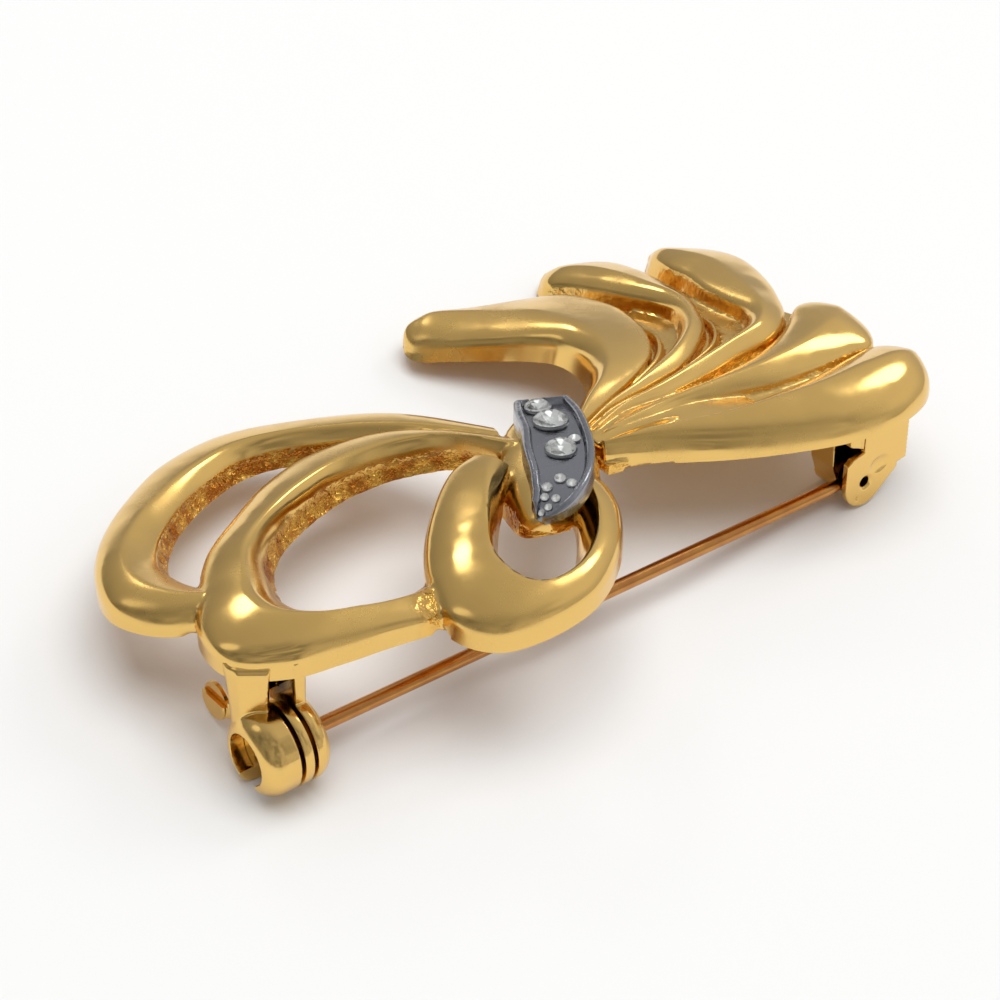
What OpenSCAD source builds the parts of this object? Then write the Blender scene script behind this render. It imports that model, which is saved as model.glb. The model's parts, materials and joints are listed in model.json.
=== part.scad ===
// Bow brooch of cast gold-tone metal with a stone-set knot, lying face up on its fittings.
// Lengths are millimetres. The bow is drawn about the middle of its knot, with its back
// level, and the whole brooch is then tipped until barrel, hinge and far edge stand on
// the floor.

/* [Bow] */
// Length that the ribbons' along shares are taken of, from the knot to either end
bow_reach = 30; // [27:0.5:33]
// Length that the ribbons' across shares are taken of, from the knot to the far edge
bow_rise = 20; // [18:0.5:22]
// Fall of the domed back at the far edge
dome_drop = 1.6; // [1:0.1:2.2]
// Thickness of a ribbon at its crest
crest_h = 2.5; // [2.2:0.1:2.9]
// Height of a ribbon's side wall
wall_h = 1.2; // [1:0.1:1.4]

/* [Knot setting] */
// Height of the setting's rims above the back at the top of its arch
setting_h = 4.7; // [4.3:0.1:5.1]
// Width of the setting at its widest
setting_w = 4.3; // [4:0.1:4.8]
// Thickness of the setting from rim to underside
setting_t = 1.6; // [1.5:0.1:1.9]
// Width of the raised rim along each side
setting_rim = 0.5; // [0.4:0.05:0.65]
// Depth of the stones' bed below the rims
bed_d = 0.45; // [0.3:0.05:0.6]
// Gap between the setting and the gold under it
seat_gap = 0.1; // [0.05:0.05:0.2]

/* [Stones] */
// Diameter of the largest stone
stone_d = 2.3; // [2.1:0.05:2.45]
// Gap between each stone's flat back and the bed
stone_gap = 0.06; // [0.04:0.01:0.1]

/* [Pin] */
// Diameter of the pin's wire
wire_d = 0.95; // [0.8:0.05:1.1]
// Distance from the middle of the knot to the pin's line, towards the near edge
pin_offset = 4.5; // [4:0.1:5]
// Distance of the hinge rivet in from bow_reach, on the side of the fan
hinge_inset = 6.1; // [5.6:0.1:7]
// Distance of the catch's flange in from bow_reach, on the side of the loops
catch_inset = 6.2; // [5.8:0.1:7]
// Radius of the flat eye round the rivet
eye_r = 1.15; // [1:0.05:1.3]
// Gap on each side of the eye between the ears
eye_gap = 0.08; // [0.05:0.01:0.15]

/* [Hinge] */
// Depth of the rivet below the back
rivet_depth = 5.9; // [5.6:0.1:6.3]
// Diameter of the rivet
rivet_d = 0.8; // [0.7:0.05:0.9]
// Radius of the near ear round the rivet
ear_r = 1.85; // [1.6:0.05:2]
// Thickness of the near ear
near_ear_t = 0.45; // [0.4:0.05:0.7]
// Thickness of the far ear
far_ear_t = 2.2; // [1.6:0.1:2.5]
// Width of the slot between the ears
ear_slot = 1; // [0.9:0.05:1.2]
// Length of the ears along the pin
ear_l = 5.7; // [5:0.1:6]
// Depth of the step at the ears' outer end
ear_step = 0.85; // [0.6:0.05:1.1]

/* [Catch] */
// Depth of the barrel's axis below the back
barrel_depth = 5; // [4.8:0.1:5.5]
// Outer diameter of the barrel
barrel_d = 5.6; // [5.2:0.1:6]
// Length of the barrel's round left part
bulb_l = 2.3; // [2:0.1:2.6]
// Length of the barrel's right ring
ring_l = 1.2; // [1:0.1:1.5]
// Wall of the barrel
barrel_wall = 1.1; // [0.9:0.05:1.3]
// Width of the window that the roller's flange turns in
window_w = 1.2; // [1.1:0.05:1.4]
// Width of the gap in the barrel's underside that the pin swings through
gap_w = 1.6; // [1.4:0.1:1.8]
// Gap round the pin in the roller
pin_gap = 0.15; // [0.1:0.01:0.2]
// Gap on each side of the flange in the window
flange_gap = 0.27; // [0.2:0.01:0.35]
// Radial clearance of the roller in the barrel and of the rivet in its bores
run_gap = 0.06; // [0.04:0.01:0.09]
// Thickness of the posts across the brooch
post_t = 3; // [2.6:0.1:3.4]
// Thickness of the thin right post
thin_post = 0.8; // [0.6:0.05:1]
// Distance from the barrel's axis to the middle of the thumb tab
tab_reach = 5.8; // [5.5:0.1:6.1]
// Diameter of the thumb tab
tab_d = 2.5; // [2.2:0.1:2.8]
// Distance that the thumb tab stands left of the flange
tab_shift = 1.1; // [0.9:0.1:1.3]
// Thickness of the thumb tab and its neck
tab_t = 0.6; // [0.5:0.05:0.7]

/* [Hidden] */
// Columns of a ribbon's table: its outer and inner edge along and across as shares of
// bow_reach and bow_rise, the crest and the lift of the underside as shares of crest_h,
// the outer and the inner side wall as shares of wall_h, and the crest's place across.
OUT_X = 0;
OUT_Y = 1;
IN_X = 2;
IN_Y = 3;
CREST = 4;
LIFT = 5;
WALL_OUT = 6;
WALL_IN = 7;
RIDGE = 8;

far_loop_rows = [
  [ 0.027,  0.355, -0.013,  0.190, 0.85, 0.10, 1.00, 0.70, 0.56],
  [-0.093,  0.665, -0.147,  0.480, 0.85, 0.05, 1.10, 0.60, 0.62],
  [-0.260,  0.860, -0.290,  0.670, 0.86, 0.00, 1.10, 0.58, 0.65],
  [-0.427,  0.960, -0.427,  0.750, 0.88, 0.00, 1.10, 0.58, 0.66],
  [-0.587,  0.925, -0.547,  0.710, 0.90, 0.00, 1.10, 0.58, 0.63],
  [-0.730,  0.800, -0.653,  0.625, 0.92, 0.00, 1.10, 0.58, 0.56],
  [-0.853,  0.645, -0.733,  0.525, 0.95, 0.00, 1.00, 0.58, 0.47],
  [-0.933,  0.480, -0.783,  0.415, 0.95, 0.00, 0.90, 0.58, 0.41],
  [-0.963,  0.310, -0.783,  0.310, 0.93, 0.00, 0.70, 0.58, 0.40],
  [-0.920,  0.165, -0.757,  0.225, 0.88, 0.00, 0.60, 0.55, 0.42],
  [-0.830,  0.080, -0.710,  0.160, 0.80, 0.00, 0.60, 0.50, 0.45],
  [-0.760,  0.050, -0.673,  0.130, 0.70, 0.00, 0.60, 0.50, 0.50]
];

near_loop_rows = [
  [ 0.027,  0.250, -0.007,  0.070, 0.95, 0.15, 0.90, 0.80, 0.58],
  [-0.087,  0.465, -0.080,  0.290, 0.95, 0.10, 1.10, 0.70, 0.66],
  [-0.200,  0.590, -0.187,  0.385, 0.98, 0.05, 1.20, 0.60, 0.70],
  [-0.340,  0.620, -0.307,  0.415, 1.00, 0.00, 1.20, 0.60, 0.70],
  [-0.483,  0.560, -0.420,  0.380, 1.02, 0.00, 1.20, 0.60, 0.68],
  [-0.613,  0.445, -0.530,  0.310, 1.05, 0.00, 1.20, 0.60, 0.65],
  [-0.727,  0.330, -0.607,  0.220, 1.08, 0.00, 1.10, 0.60, 0.62],
  [-0.820,  0.160, -0.647,  0.115, 1.10, 0.00, 1.00, 0.60, 0.60],
  [-0.877,  0.010, -0.663,  0.015, 1.12, 0.00, 1.00, 0.60, 0.59],
  [-0.873, -0.145, -0.650, -0.070, 1.12, 0.00, 1.00, 0.60, 0.60],
  [-0.780, -0.250, -0.607, -0.140, 1.08, 0.00, 1.00, 0.60, 0.62],
  [-0.673, -0.285, -0.560, -0.175, 0.98, 0.00, 1.00, 0.60, 0.66],
  [-0.560, -0.310, -0.507, -0.185, 0.86, 0.00, 1.00, 0.60, 0.62],
  [-0.447, -0.340, -0.440, -0.160, 0.72, 0.00, 0.80, 0.60, 0.55],
  [-0.360, -0.355, -0.360, -0.120, 0.68, 0.00, 0.70, 0.60, 0.50]
];

ring_rows = [
  [-0.117,  0.185, -0.070,  0.060, 0.90, 0.42, 1.30, 1.40, 0.55],
  [-0.177,  0.165, -0.113,  0.005, 1.00, 0.38, 1.25, 1.40, 0.70],
  [-0.253,  0.095, -0.180, -0.090, 1.13, 0.26, 1.10, 1.20, 0.82],
  [-0.353, -0.045, -0.240, -0.200, 1.22, 0.10, 1.00, 1.00, 0.88],
  [-0.423, -0.205, -0.267, -0.280, 1.26, 0.02, 1.00, 1.00, 0.87],
  [-0.453, -0.380, -0.267, -0.355, 1.25, 0.00, 1.00, 1.00, 0.84],
  [-0.403, -0.510, -0.247, -0.410, 1.18, 0.00, 1.10, 0.90, 0.78],
  [-0.290, -0.550, -0.210, -0.430, 1.10, 0.00, 1.10, 0.80, 0.70],
  [-0.153, -0.525, -0.153, -0.395, 1.02, 0.02, 1.00, 0.70, 0.60],
  [-0.037, -0.425, -0.100, -0.325, 0.96, 0.05, 0.90, 0.60, 0.52],
  [ 0.047, -0.285, -0.050, -0.235, 0.90, 0.10, 0.80, 0.60, 0.50],
  [ 0.083, -0.160, -0.023, -0.145, 0.85, 0.16, 0.70, 0.60, 0.50],
  [ 0.087, -0.070, -0.013, -0.060, 0.75, 0.20, 0.70, 0.70, 0.50]
];

horn_rows = [
  [ 0.153,  0.180,  0.200,  0.150, 0.90, 0.05, 0.80, 1.00, 0.45],
  [ 0.220,  0.270,  0.313,  0.230, 0.96, 0.05, 0.90, 1.20, 0.42],
  [ 0.293,  0.350,  0.413,  0.290, 1.00, 0.03, 0.90, 1.30, 0.38],
  [ 0.347,  0.440,  0.497,  0.360, 1.04, 0.00, 1.00, 1.40, 0.34],
  [ 0.377,  0.550,  0.557,  0.470, 1.06, 0.00, 1.00, 1.50, 0.32],
  [ 0.377,  0.660,  0.593,  0.610, 1.06, 0.00, 1.00, 1.50, 0.34],
  [ 0.340,  0.755,  0.603,  0.770, 1.05, 0.00, 1.00, 1.50, 0.38],
  [ 0.297,  0.825,  0.573,  0.950, 1.03, 0.00, 1.00, 1.40, 0.42],
  [ 0.253,  0.895,  0.500,  1.040, 1.00, 0.00, 0.90, 1.30, 0.46],
  [ 0.210,  0.960,  0.403,  1.130, 1.02, 0.00, 0.80, 1.05, 0.55],
  [ 0.173,  1.020,  0.313,  1.200, 1.08, 0.00, 0.65, 0.80, 0.58],
  [ 0.158,  1.055,  0.263,  1.215, 0.94, 0.04, 0.45, 0.50, 0.56],
  [ 0.155,  1.090,  0.223,  1.205, 0.74, 0.12, 0.28, 0.32, 0.53],
  [ 0.160,  1.115,  0.193,  1.175, 0.50, 0.20, 0.14, 0.16, 0.50],
  [ 0.165,  1.130,  0.180,  1.155, 0.34, 0.24, 0.05, 0.05, 0.50]
];

inner_rib_rows = [
  [ 0.387,  0.295,  0.400,  0.265, 0.62, 0.00, 0.80, 0.80, 0.50],
  [ 0.493,  0.360,  0.513,  0.330, 0.68, 0.00, 0.90, 0.90, 0.50],
  [ 0.553,  0.440,  0.573,  0.415, 0.70, 0.00, 0.90, 0.90, 0.50],
  [ 0.577,  0.520,  0.600,  0.510, 0.66, 0.00, 0.90, 0.90, 0.50],
  [ 0.580,  0.600,  0.600,  0.600, 0.50, 0.00, 0.80, 0.80, 0.50]
];

outer_rib_rows = [
  [ 0.527,  0.260,  0.537,  0.235, 0.62, 0.00, 0.80, 0.80, 0.50],
  [ 0.620,  0.295,  0.637,  0.270, 0.70, 0.00, 0.90, 0.90, 0.50],
  [ 0.673,  0.350,  0.693,  0.325, 0.70, 0.00, 0.90, 0.90, 0.50],
  [ 0.707,  0.420,  0.727,  0.405, 0.66, 0.00, 0.90, 0.90, 0.50],
  [ 0.730,  0.510,  0.750,  0.510, 0.50, 0.00, 0.80, 0.80, 0.50]
];

petal_2_rows = [
  [ 0.187,  0.165,  0.193,  0.125, 0.86, 0.05, 1.00, 1.00, 0.50],
  [ 0.280,  0.225,  0.293,  0.175, 0.88, 0.03, 1.20, 1.20, 0.50],
  [ 0.377,  0.270,  0.400,  0.205, 0.90, 0.00, 1.30, 1.30, 0.50],
  [ 0.487,  0.330,  0.520,  0.240, 0.94, 0.00, 1.30, 1.30, 0.50],
  [ 0.560,  0.380,  0.607,  0.300, 0.97, 0.00, 1.30, 1.30, 0.50],
  [ 0.627,  0.450,  0.687,  0.390, 1.00, 0.00, 1.40, 1.30, 0.50],
  [ 0.667,  0.540,  0.730,  0.495, 1.02, 0.00, 1.40, 1.40, 0.52],
  [ 0.673,  0.640,  0.763,  0.620, 1.02, 0.00, 1.30, 1.40, 0.52],
  [ 0.653,  0.770,  0.773,  0.770, 1.00, 0.00, 1.10, 1.50, 0.50],
  [ 0.630,  0.910,  0.777,  0.920, 0.98, 0.00, 1.00, 1.50, 0.50],
  [ 0.607,  1.035,  0.767,  1.060, 0.93, 0.00, 0.90, 1.40, 0.50],
  [ 0.590,  1.125,  0.730,  1.170, 0.80, 0.00, 0.70, 1.00, 0.50],
  [ 0.607,  1.195,  0.680,  1.225, 0.50, 0.00, 0.45, 0.50, 0.50]
];

petal_3_rows = [
  [ 0.193,  0.130,  0.197,  0.090, 0.86, 0.05, 1.00, 1.00, 0.50],
  [ 0.293,  0.185,  0.303,  0.130, 0.90, 0.03, 1.20, 1.20, 0.50],
  [ 0.420,  0.215,  0.413,  0.130, 0.94, 0.00, 1.30, 1.30, 0.50],
  [ 0.540,  0.250,  0.547,  0.145, 0.98, 0.00, 1.30, 1.20, 0.50],
  [ 0.647,  0.275,  0.660,  0.170, 1.02, 0.00, 1.30, 1.10, 0.50],
  [ 0.740,  0.315,  0.787,  0.195, 1.05, 0.00, 1.40, 1.10, 0.50],
  [ 0.787,  0.395,  0.873,  0.280, 1.06, 0.00, 1.50, 1.20, 0.50],
  [ 0.787,  0.495,  0.933,  0.430, 1.06, 0.00, 1.60, 1.40, 0.50],
  [ 0.790,  0.610,  0.977,  0.585, 1.06, 0.00, 1.60, 1.40, 0.50],
  [ 0.807,  0.740,  0.997,  0.730, 1.05, 0.00, 1.60, 1.40, 0.50],
  [ 0.813,  0.860,  0.983,  0.860, 1.00, 0.00, 1.50, 1.30, 0.50],
  [ 0.830,  0.965,  0.943,  0.975, 0.86, 0.00, 1.10, 1.00, 0.50],
  [ 0.860,  1.020,  0.900,  1.035, 0.55, 0.00, 0.60, 0.60, 0.50]
];

petal_4_rows = [
  [ 0.193,  0.095,  0.193,  0.060, 0.82, 0.05, 1.00, 1.00, 0.50],
  [ 0.313,  0.130,  0.307,  0.045, 0.86, 0.03, 1.20, 1.10, 0.50],
  [ 0.420,  0.125,  0.407,  0.045, 0.90, 0.00, 1.30, 1.10, 0.50],
  [ 0.547,  0.125,  0.530,  0.015, 0.92, 0.00, 1.20, 0.90, 0.50],
  [ 0.667,  0.145,  0.653, -0.030, 0.96, 0.00, 1.20, 0.80, 0.52],
  [ 0.773,  0.190,  0.773, -0.045, 0.98, 0.00, 1.20, 0.80, 0.54],
  [ 0.857,  0.255,  0.880, -0.045, 0.98, 0.00, 1.20, 0.90, 0.54],
  [ 0.913,  0.315,  0.950, -0.040, 0.95, 0.00, 1.20, 0.90, 0.52],
  [ 0.960,  0.325,  0.993,  0.035, 0.84, 0.00, 0.90, 0.80, 0.50],
  [ 0.993,  0.270,  1.010,  0.140, 0.55, 0.00, 0.60, 0.60, 0.50]
];

short_rib_rows = [
  [ 0.173,  0.060,  0.173,  0.020, 0.80, 0.05, 1.00, 1.00, 0.50],
  [ 0.267,  0.050,  0.267,  0.010, 0.84, 0.03, 1.00, 1.00, 0.50],
  [ 0.347,  0.035,  0.340, -0.010, 0.84, 0.00, 1.00, 1.00, 0.50],
  [ 0.407,  0.025,  0.400, -0.010, 0.55, 0.00, 0.70, 0.70, 0.50]
];

petal_5_rows = [
  [ 0.163,  0.000,  0.173,  0.045, 0.88, 0.05, 0.60, 1.00, 0.55],
  [ 0.280, -0.080,  0.300,  0.005, 0.96, 0.03, 0.50, 1.10, 0.58],
  [ 0.413, -0.195,  0.440, -0.045, 1.04, 0.00, 0.40, 1.10, 0.60],
  [ 0.547, -0.290,  0.587, -0.070, 1.12, 0.00, 0.35, 1.10, 0.60],
  [ 0.680, -0.360,  0.727, -0.070, 1.18, 0.00, 0.35, 1.10, 0.58],
  [ 0.807, -0.380,  0.847, -0.050, 1.18, 0.00, 0.35, 1.10, 0.55],
  [ 0.897, -0.355,  0.930, -0.040, 1.10, 0.00, 0.35, 1.00, 0.50],
  [ 0.953, -0.310,  0.977, -0.075, 0.90, 0.00, 0.35, 0.80, 0.50],
  [ 0.983, -0.250,  0.997, -0.135, 0.60, 0.00, 0.30, 0.50, 0.50],
  [ 0.993, -0.215,  1.000, -0.175, 0.35, 0.00, 0.25, 0.30, 0.50]
];

fan_floor_rows = [
  [ 0.160,  0.170,  0.160, -0.020, 0.34, 0.02, 0.60, 0.60, 0.50],
  [ 0.320,  0.300,  0.340, -0.070, 0.36, 0.00, 0.60, 0.60, 0.50],
  [ 0.453,  0.430,  0.500, -0.130, 0.36, 0.00, 0.60, 0.60, 0.50],
  [ 0.553,  0.580,  0.667, -0.170, 0.36, 0.00, 0.60, 0.60, 0.50],
  [ 0.633,  0.720,  0.807, -0.160, 0.36, 0.00, 0.60, 0.60, 0.50],
  [ 0.700,  0.780,  0.893, -0.080, 0.36, 0.00, 0.60, 0.60, 0.50],
  [ 0.767,  0.770,  0.933,  0.070, 0.36, 0.00, 0.60, 0.60, 0.50],
  [ 0.833,  0.710,  0.940,  0.250, 0.34, 0.00, 0.60, 0.60, 0.50]
];

fan_hub_rows = [
  [ 0.167,  0.150,  0.167,  0.020, 0.70, 0.05, 1.20, 1.20, 0.50],
  [ 0.267,  0.220,  0.280, -0.030, 0.72, 0.03, 1.30, 1.30, 0.50],
  [ 0.367,  0.260,  0.387, -0.080, 0.68, 0.00, 1.20, 1.20, 0.50],
  [ 0.453,  0.270,  0.480, -0.110, 0.60, 0.00, 1.00, 1.00, 0.50],
  [ 0.547,  0.280,  0.580, -0.090, 0.42, 0.00, 0.80, 0.80, 0.50]
];

strap_rows = [
  [ 0.067,  0.320,  0.147,  0.310, 0.80, 0.20, 0.80, 0.80, 0.50],
  [ 0.003,  0.265,  0.180,  0.220, 1.10, 0.05, 1.20, 1.20, 0.50],
  [-0.060,  0.155,  0.163,  0.080, 1.25, 0.00, 1.40, 1.40, 0.55],
  [-0.110,  0.040,  0.117, -0.060, 1.25, 0.00, 1.20, 1.40, 0.58],
  [-0.137, -0.065,  0.047, -0.145, 1.15, 0.12, 0.90, 1.00, 0.55],
  [-0.150, -0.140, -0.017, -0.195, 0.86, 0.26, 0.50, 0.55, 0.52],
  [-0.143, -0.180, -0.057, -0.220, 0.66, 0.34, 0.30, 0.30, 0.50],
  [-0.120, -0.200, -0.087, -0.220, 0.50, 0.38, 0.15, 0.15, 0.50]
];
RIBBONS = [
  far_loop_rows, near_loop_rows, ring_rows, horn_rows, inner_rib_rows, outer_rib_rows,
  petal_2_rows, petal_3_rows, petal_4_rows, short_rib_rows, petal_5_rows,
  fan_floor_rows, fan_hub_rows, strap_rows
];

// Columns of the setting's table: its centre line along and across as shares of bow_reach
// and bow_rise, half its width as a share of setting_w, its rims' height as a share of
// setting_h and its thickness as a share of setting_t.
MID_X = 0;
MID_Y = 1;
HALF_W = 2;
RIM_H = 3;
THICK = 4;
setting_rows = [
  [ 0.122,  0.262, 0.44, 0.78, 1.00],
  [ 0.092,  0.175, 0.50, 0.87, 1.00],
  [ 0.056,  0.072, 0.51, 0.95, 1.00],
  [ 0.007, -0.040, 0.53, 1.00, 1.00],
  [-0.041, -0.140, 0.47, 0.99, 0.95],
  [-0.089, -0.202, 0.37, 0.92, 0.80],
  [-0.128, -0.228, 0.25, 0.81, 0.64],
  [-0.152, -0.238, 0.11, 0.68, 0.50]
];

// Columns of the stones' table: the place along the setting in rows of its table, the place
// across as a share of half the width, and the diameter as a share of stone_d.
PLACE = 0;
ASIDE = 1;
SIZE = 2;
stone_rows = [
  [0.55,  0.22, 0.80],
  [1.62,  0.05, 1.00],
  [3.05, -0.05, 0.88],
  [2.60, -0.48, 0.36],
  [4.36,  0.00, 0.33],
  [4.50, -0.44, 0.30],
  [4.85,  0.38, 0.31],
  [5.40,  0.36, 0.25],
  [5.30, -0.14, 0.25],
  [5.84, -0.06, 0.22],
  [6.32,  0.16, 0.19]
];
STONE_SIDES = 8;
// Radii of a stone's back and table, and heights of its girdle and crown over its back, as
// shares of its diameter
BACK_SHARE = 0.42;
TABLE_SHARE = 0.28;
GIRDLE_LOW = 0.08;
GIRDLE_TOP = 0.13;
CROWN_SHARE = 0.29;

// Places across a ribbon at which its profile has a point between the two side walls
PROFILE = [0, 0.08, 0.24, 0.42, 0.6, 0.78, 0.92, 1];
// Sections that a ribbon has for each row of its table
STEPS = 2;
ROUND = 64;
// Little length by which solids run into each other and cuts run past them
LAP = 0.4;
// Step along the setting's table over which its direction and climb are taken
PLACE_STEP = 0.1;
// Most that one rim takes of half the setting's width
RIM_LIMIT = 0.45;
// Thickness of the pin's neck in the eye as a share of the eye's thickness
NECK_SHARE = 0.7;

hinge_reach = bow_reach - hinge_inset;
catch_reach = bow_reach - catch_inset;
pin_y = -pin_offset;
catch_x = -catch_reach;
barrel_r = barrel_d / 2;
barrel_bore_r = barrel_r - barrel_wall;
sleeve_r = barrel_bore_r - run_gap;
pin_bore_r = wire_d / 2 + pin_gap;
window_left = catch_x - window_w / 2;
window_right = catch_x + window_w / 2;
bulb_left = window_left - bulb_l;
ring_right = window_right + ring_l;
near_ear_y = pin_y - ear_slot / 2 - near_ear_t;
far_ear_y = pin_y + ear_slot / 2;
post_y = pin_y - post_t / 6;

function spline(a, b, c, d, t) = 0.5 * (2 * b + (c - a) * t
  + (2 * a - 5 * b + 4 * c - d) * t * t + (3 * b - a - 3 * c + d) * t * t * t);

// A table's row at place u, in rows from its first
function row_at(rows, u) =
  let (last = len(rows) - 1, i = min(floor(u), last - 1))
  spline(rows[max(i - 1, 0)], rows[i], rows[i + 1], rows[min(i + 2, last)], u - i);

function smooth(rows) = [
  for (k = [0 : (len(rows) - 1) * STEPS]) row_at(rows, k / STEPS)
];

// Height of the domed back
function back(y) = -dome_drop * (y / bow_rise) * (y / bow_rise);

// Height of a ribbon's top at share s across it, falling from the crest to both side walls
function top_height(row, s) =
  let (
    ridge = row[RIDGE],
    outer = row[WALL_OUT] * wall_h,
    inner = row[WALL_IN] * wall_h,
    crest = row[CREST] * crest_h
  )
  s <= ridge
    ? outer + (crest - outer) * sin(90 * s / ridge)
    : inner + (crest - inner) * cos(90 * (s - ridge) / (1 - ridge));

function ribbon_point(row, s, h) =
  let (
    x = bow_reach * (row[OUT_X] + (row[IN_X] - row[OUT_X]) * s),
    y = bow_rise * (row[OUT_Y] + (row[IN_Y] - row[OUT_Y]) * s)
  )
  [x, y, back(y) + row[LIFT] * crest_h + h];

function ribbon_section(row) = concat(
  [ribbon_point(row, 0, 0)],
  [for (s = PROFILE) ribbon_point(row, s, top_height(row, s))],
  [ribbon_point(row, 1, 0)]
);

function reversed(list) = [for (i = [len(list) - 1 : -1 : 0]) list[i]];

// Whether the outer edge lies left of a ribbon's run, seen from above
function runs_left(rows) =
  let (
    run = [rows[1][OUT_X] - rows[0][OUT_X] + rows[1][IN_X] - rows[0][IN_X],
           rows[1][OUT_Y] - rows[0][OUT_Y] + rows[1][IN_Y] - rows[0][IN_Y]],
    across = [rows[0][IN_X] - rows[0][OUT_X], rows[0][IN_Y] - rows[0][OUT_Y]]
  )
  run.x * bow_reach * across.y * bow_rise < run.y * bow_rise * across.x * bow_reach;

function ribbon_sections(rows) = [
  for (row = smooth(rows)) runs_left(rows) ? ribbon_section(row) : reversed(ribbon_section(row))
];

// Faces of a tube through a number of rings of n points, with a fan of triangles at each end
function tube_faces(rings, n) = concat(
  [for (k = [1 : n - 2]) [0, k, k + 1]],
  [for (r = [0 : rings - 2], k = [0 : n - 1], half = [0, 1])
    let (a = r * n + k, b = r * n + (k + 1) % n)
    half == 0 ? [a, b + n, b] : [a, a + n, b + n]],
  [for (k = [1 : n - 2]) [(rings - 1) * n, (rings - 1) * n + k + 1, (rings - 1) * n + k]]
);

module tube(sections) {
  polyhedron(
    [for (section = sections) each section],
    tube_faces(len(sections), len(sections[0]))
  );
}

// All points of the ribbons, which give the brooch its tilt and its middle
BOW_POINTS = [for (rows = RIBBONS) for (section = ribbon_sections(rows)) each section];

// Tilt at which the barrel and the far edge stand on one level
rest_tilt = min([
  for (p = BOW_POINTS)
    let (dy = p.y - pin_y, dz = p.z + barrel_depth)
    if (dy > barrel_d) atan2(dz, dy) + asin(barrel_r / norm([dy, dz]))
]);

function tipped(p) = [
  p.x,
  p.y * cos(rest_tilt) + p.z * sin(rest_tilt),
  p.z * cos(rest_tilt) - p.y * sin(rest_tilt)
];

TIPPED_POINTS = [for (p = BOW_POINTS) tipped(p)];
mid_x = (min([for (p = TIPPED_POINTS) p.x]) + max([for (p = TIPPED_POINTS) p.x])) / 2;
mid_y = (min([for (p = TIPPED_POINTS) p.y]) + max([for (p = TIPPED_POINTS) p.y])) / 2;
floor_z = tipped([0, pin_y, -barrel_depth]).z - barrel_r;

// Height of the floor under the untipped brooch
function floor_at(y) =
  -barrel_depth + ((y - pin_y) * sin(rest_tilt) - barrel_r) / cos(rest_tilt);

far_ear_r = -floor_at(far_ear_y + far_ear_t) - rivet_depth;

module at_rest() {
  translate([-mid_x, -mid_y, -floor_z]) rotate([-rest_tilt, 0, 0]) children();
}

module along_barrel(x) {
  translate([x, pin_y, -barrel_depth]) rotate([0, 90, 0]) children();
}

// Setting
function setting_mid(u) =
  let (row = row_at(setting_rows, u))
  [row[MID_X] * bow_reach, row[MID_Y] * bow_rise];

function setting_along(u) =
  let (
    last = len(setting_rows) - 1,
    d = setting_mid(min(u + PLACE_STEP, last)) - setting_mid(max(u - PLACE_STEP, 0))
  )
  d / norm(d);

function setting_rim_z(u) = row_at(setting_rows, u)[RIM_H] * setting_h;

// Section of the setting, grown on all sides for its seat in the gold
function setting_section(u, grown) =
  let (
    half = row_at(setting_rows, u)[HALF_W] * setting_w + grown,
    mid = setting_mid(u) + setting_along(u) * (u == 0 ? -grown : grown * u / len(setting_rows)),
    across = [setting_along(u).y, -setting_along(u).x],
    rim = min(setting_rim, RIM_LIMIT * half),
    top = setting_rim_z(u) + (grown > 0 ? setting_h : 0),
    bed = top - (grown > 0 ? 0 : bed_d),
    low = setting_rim_z(u) - row_at(setting_rows, u)[THICK] * setting_t - grown
  )
  [for (p = [
    [-half, low], [-half, top], [rim - half, top], [rim - half, bed],
    [half - rim, bed], [half - rim, top], [half, top], [half, low]
  ]) [mid.x + across.x * p.x, mid.y + across.y * p.x, p.y]];

module setting_block(grown) {
  last = len(setting_rows) - 1;
  tube([for (k = [0 : last * STEPS]) setting_section(k / STEPS, grown)]);
}

// Places something upright on the setting's bed where a stone sits
module at_stone(row) {
  u = row[PLACE];
  half = row_at(setting_rows, u)[HALF_W] * setting_w;
  along = setting_along(u);
  mid = setting_mid(u) + [along.y, -along.x] * half * row[ASIDE];
  run = norm(setting_mid(u + PLACE_STEP) - setting_mid(u - PLACE_STEP));
  climb = atan2(setting_rim_z(u + PLACE_STEP) - setting_rim_z(u - PLACE_STEP), run);
  translate([mid.x, mid.y, setting_rim_z(u) - bed_d])
    rotate([0, -climb, atan2(along.y, along.x)]) children();
}

// A stone with a flat back, a girdle, a cut crown and a table
module cut_stone(d) {
  rotate_extrude($fn = STONE_SIDES) translate([0, stone_gap]) polygon([
    [0, 0], [BACK_SHARE * d, 0], [d / 2, GIRDLE_LOW * d], [d / 2, GIRDLE_TOP * d],
    [TABLE_SHARE * d, CROWN_SHARE * d], [0, CROWN_SHARE * d]
  ]);
}

module knot_setting() {
  color("dimgray") at_rest() setting_block(0);
}

module stone(i) {
  color("white") at_rest() at_stone(stone_rows[i - 1]) cut_stone(stone_rows[i - 1][SIZE] * stone_d);
}

// Hinge
module ear(r, y, t) {
  left = hinge_reach - r;
  right = hinge_reach - ear_r + ear_l;
  translate([0, y + t, 0]) rotate([90, 0, 0]) linear_extrude(t) difference() {
    union() {
      translate([hinge_reach, -rivet_depth]) circle(r, $fn = ROUND);
      polygon([
        [left, LAP], [right, LAP], [right, -rivet_depth], [right - ear_step, -rivet_depth],
        [hinge_reach + r * cos(45), -rivet_depth - r * sin(45)],
        [hinge_reach, -rivet_depth], [left, -rivet_depth]
      ]);
    }
    translate([hinge_reach, -rivet_depth]) circle(rivet_d / 2 + run_gap, $fn = ROUND);
  }
}

module hinge_ears() {
  ear(ear_r, near_ear_y, near_ear_t);
  ear(far_ear_r, far_ear_y, far_ear_t);
}

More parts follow.
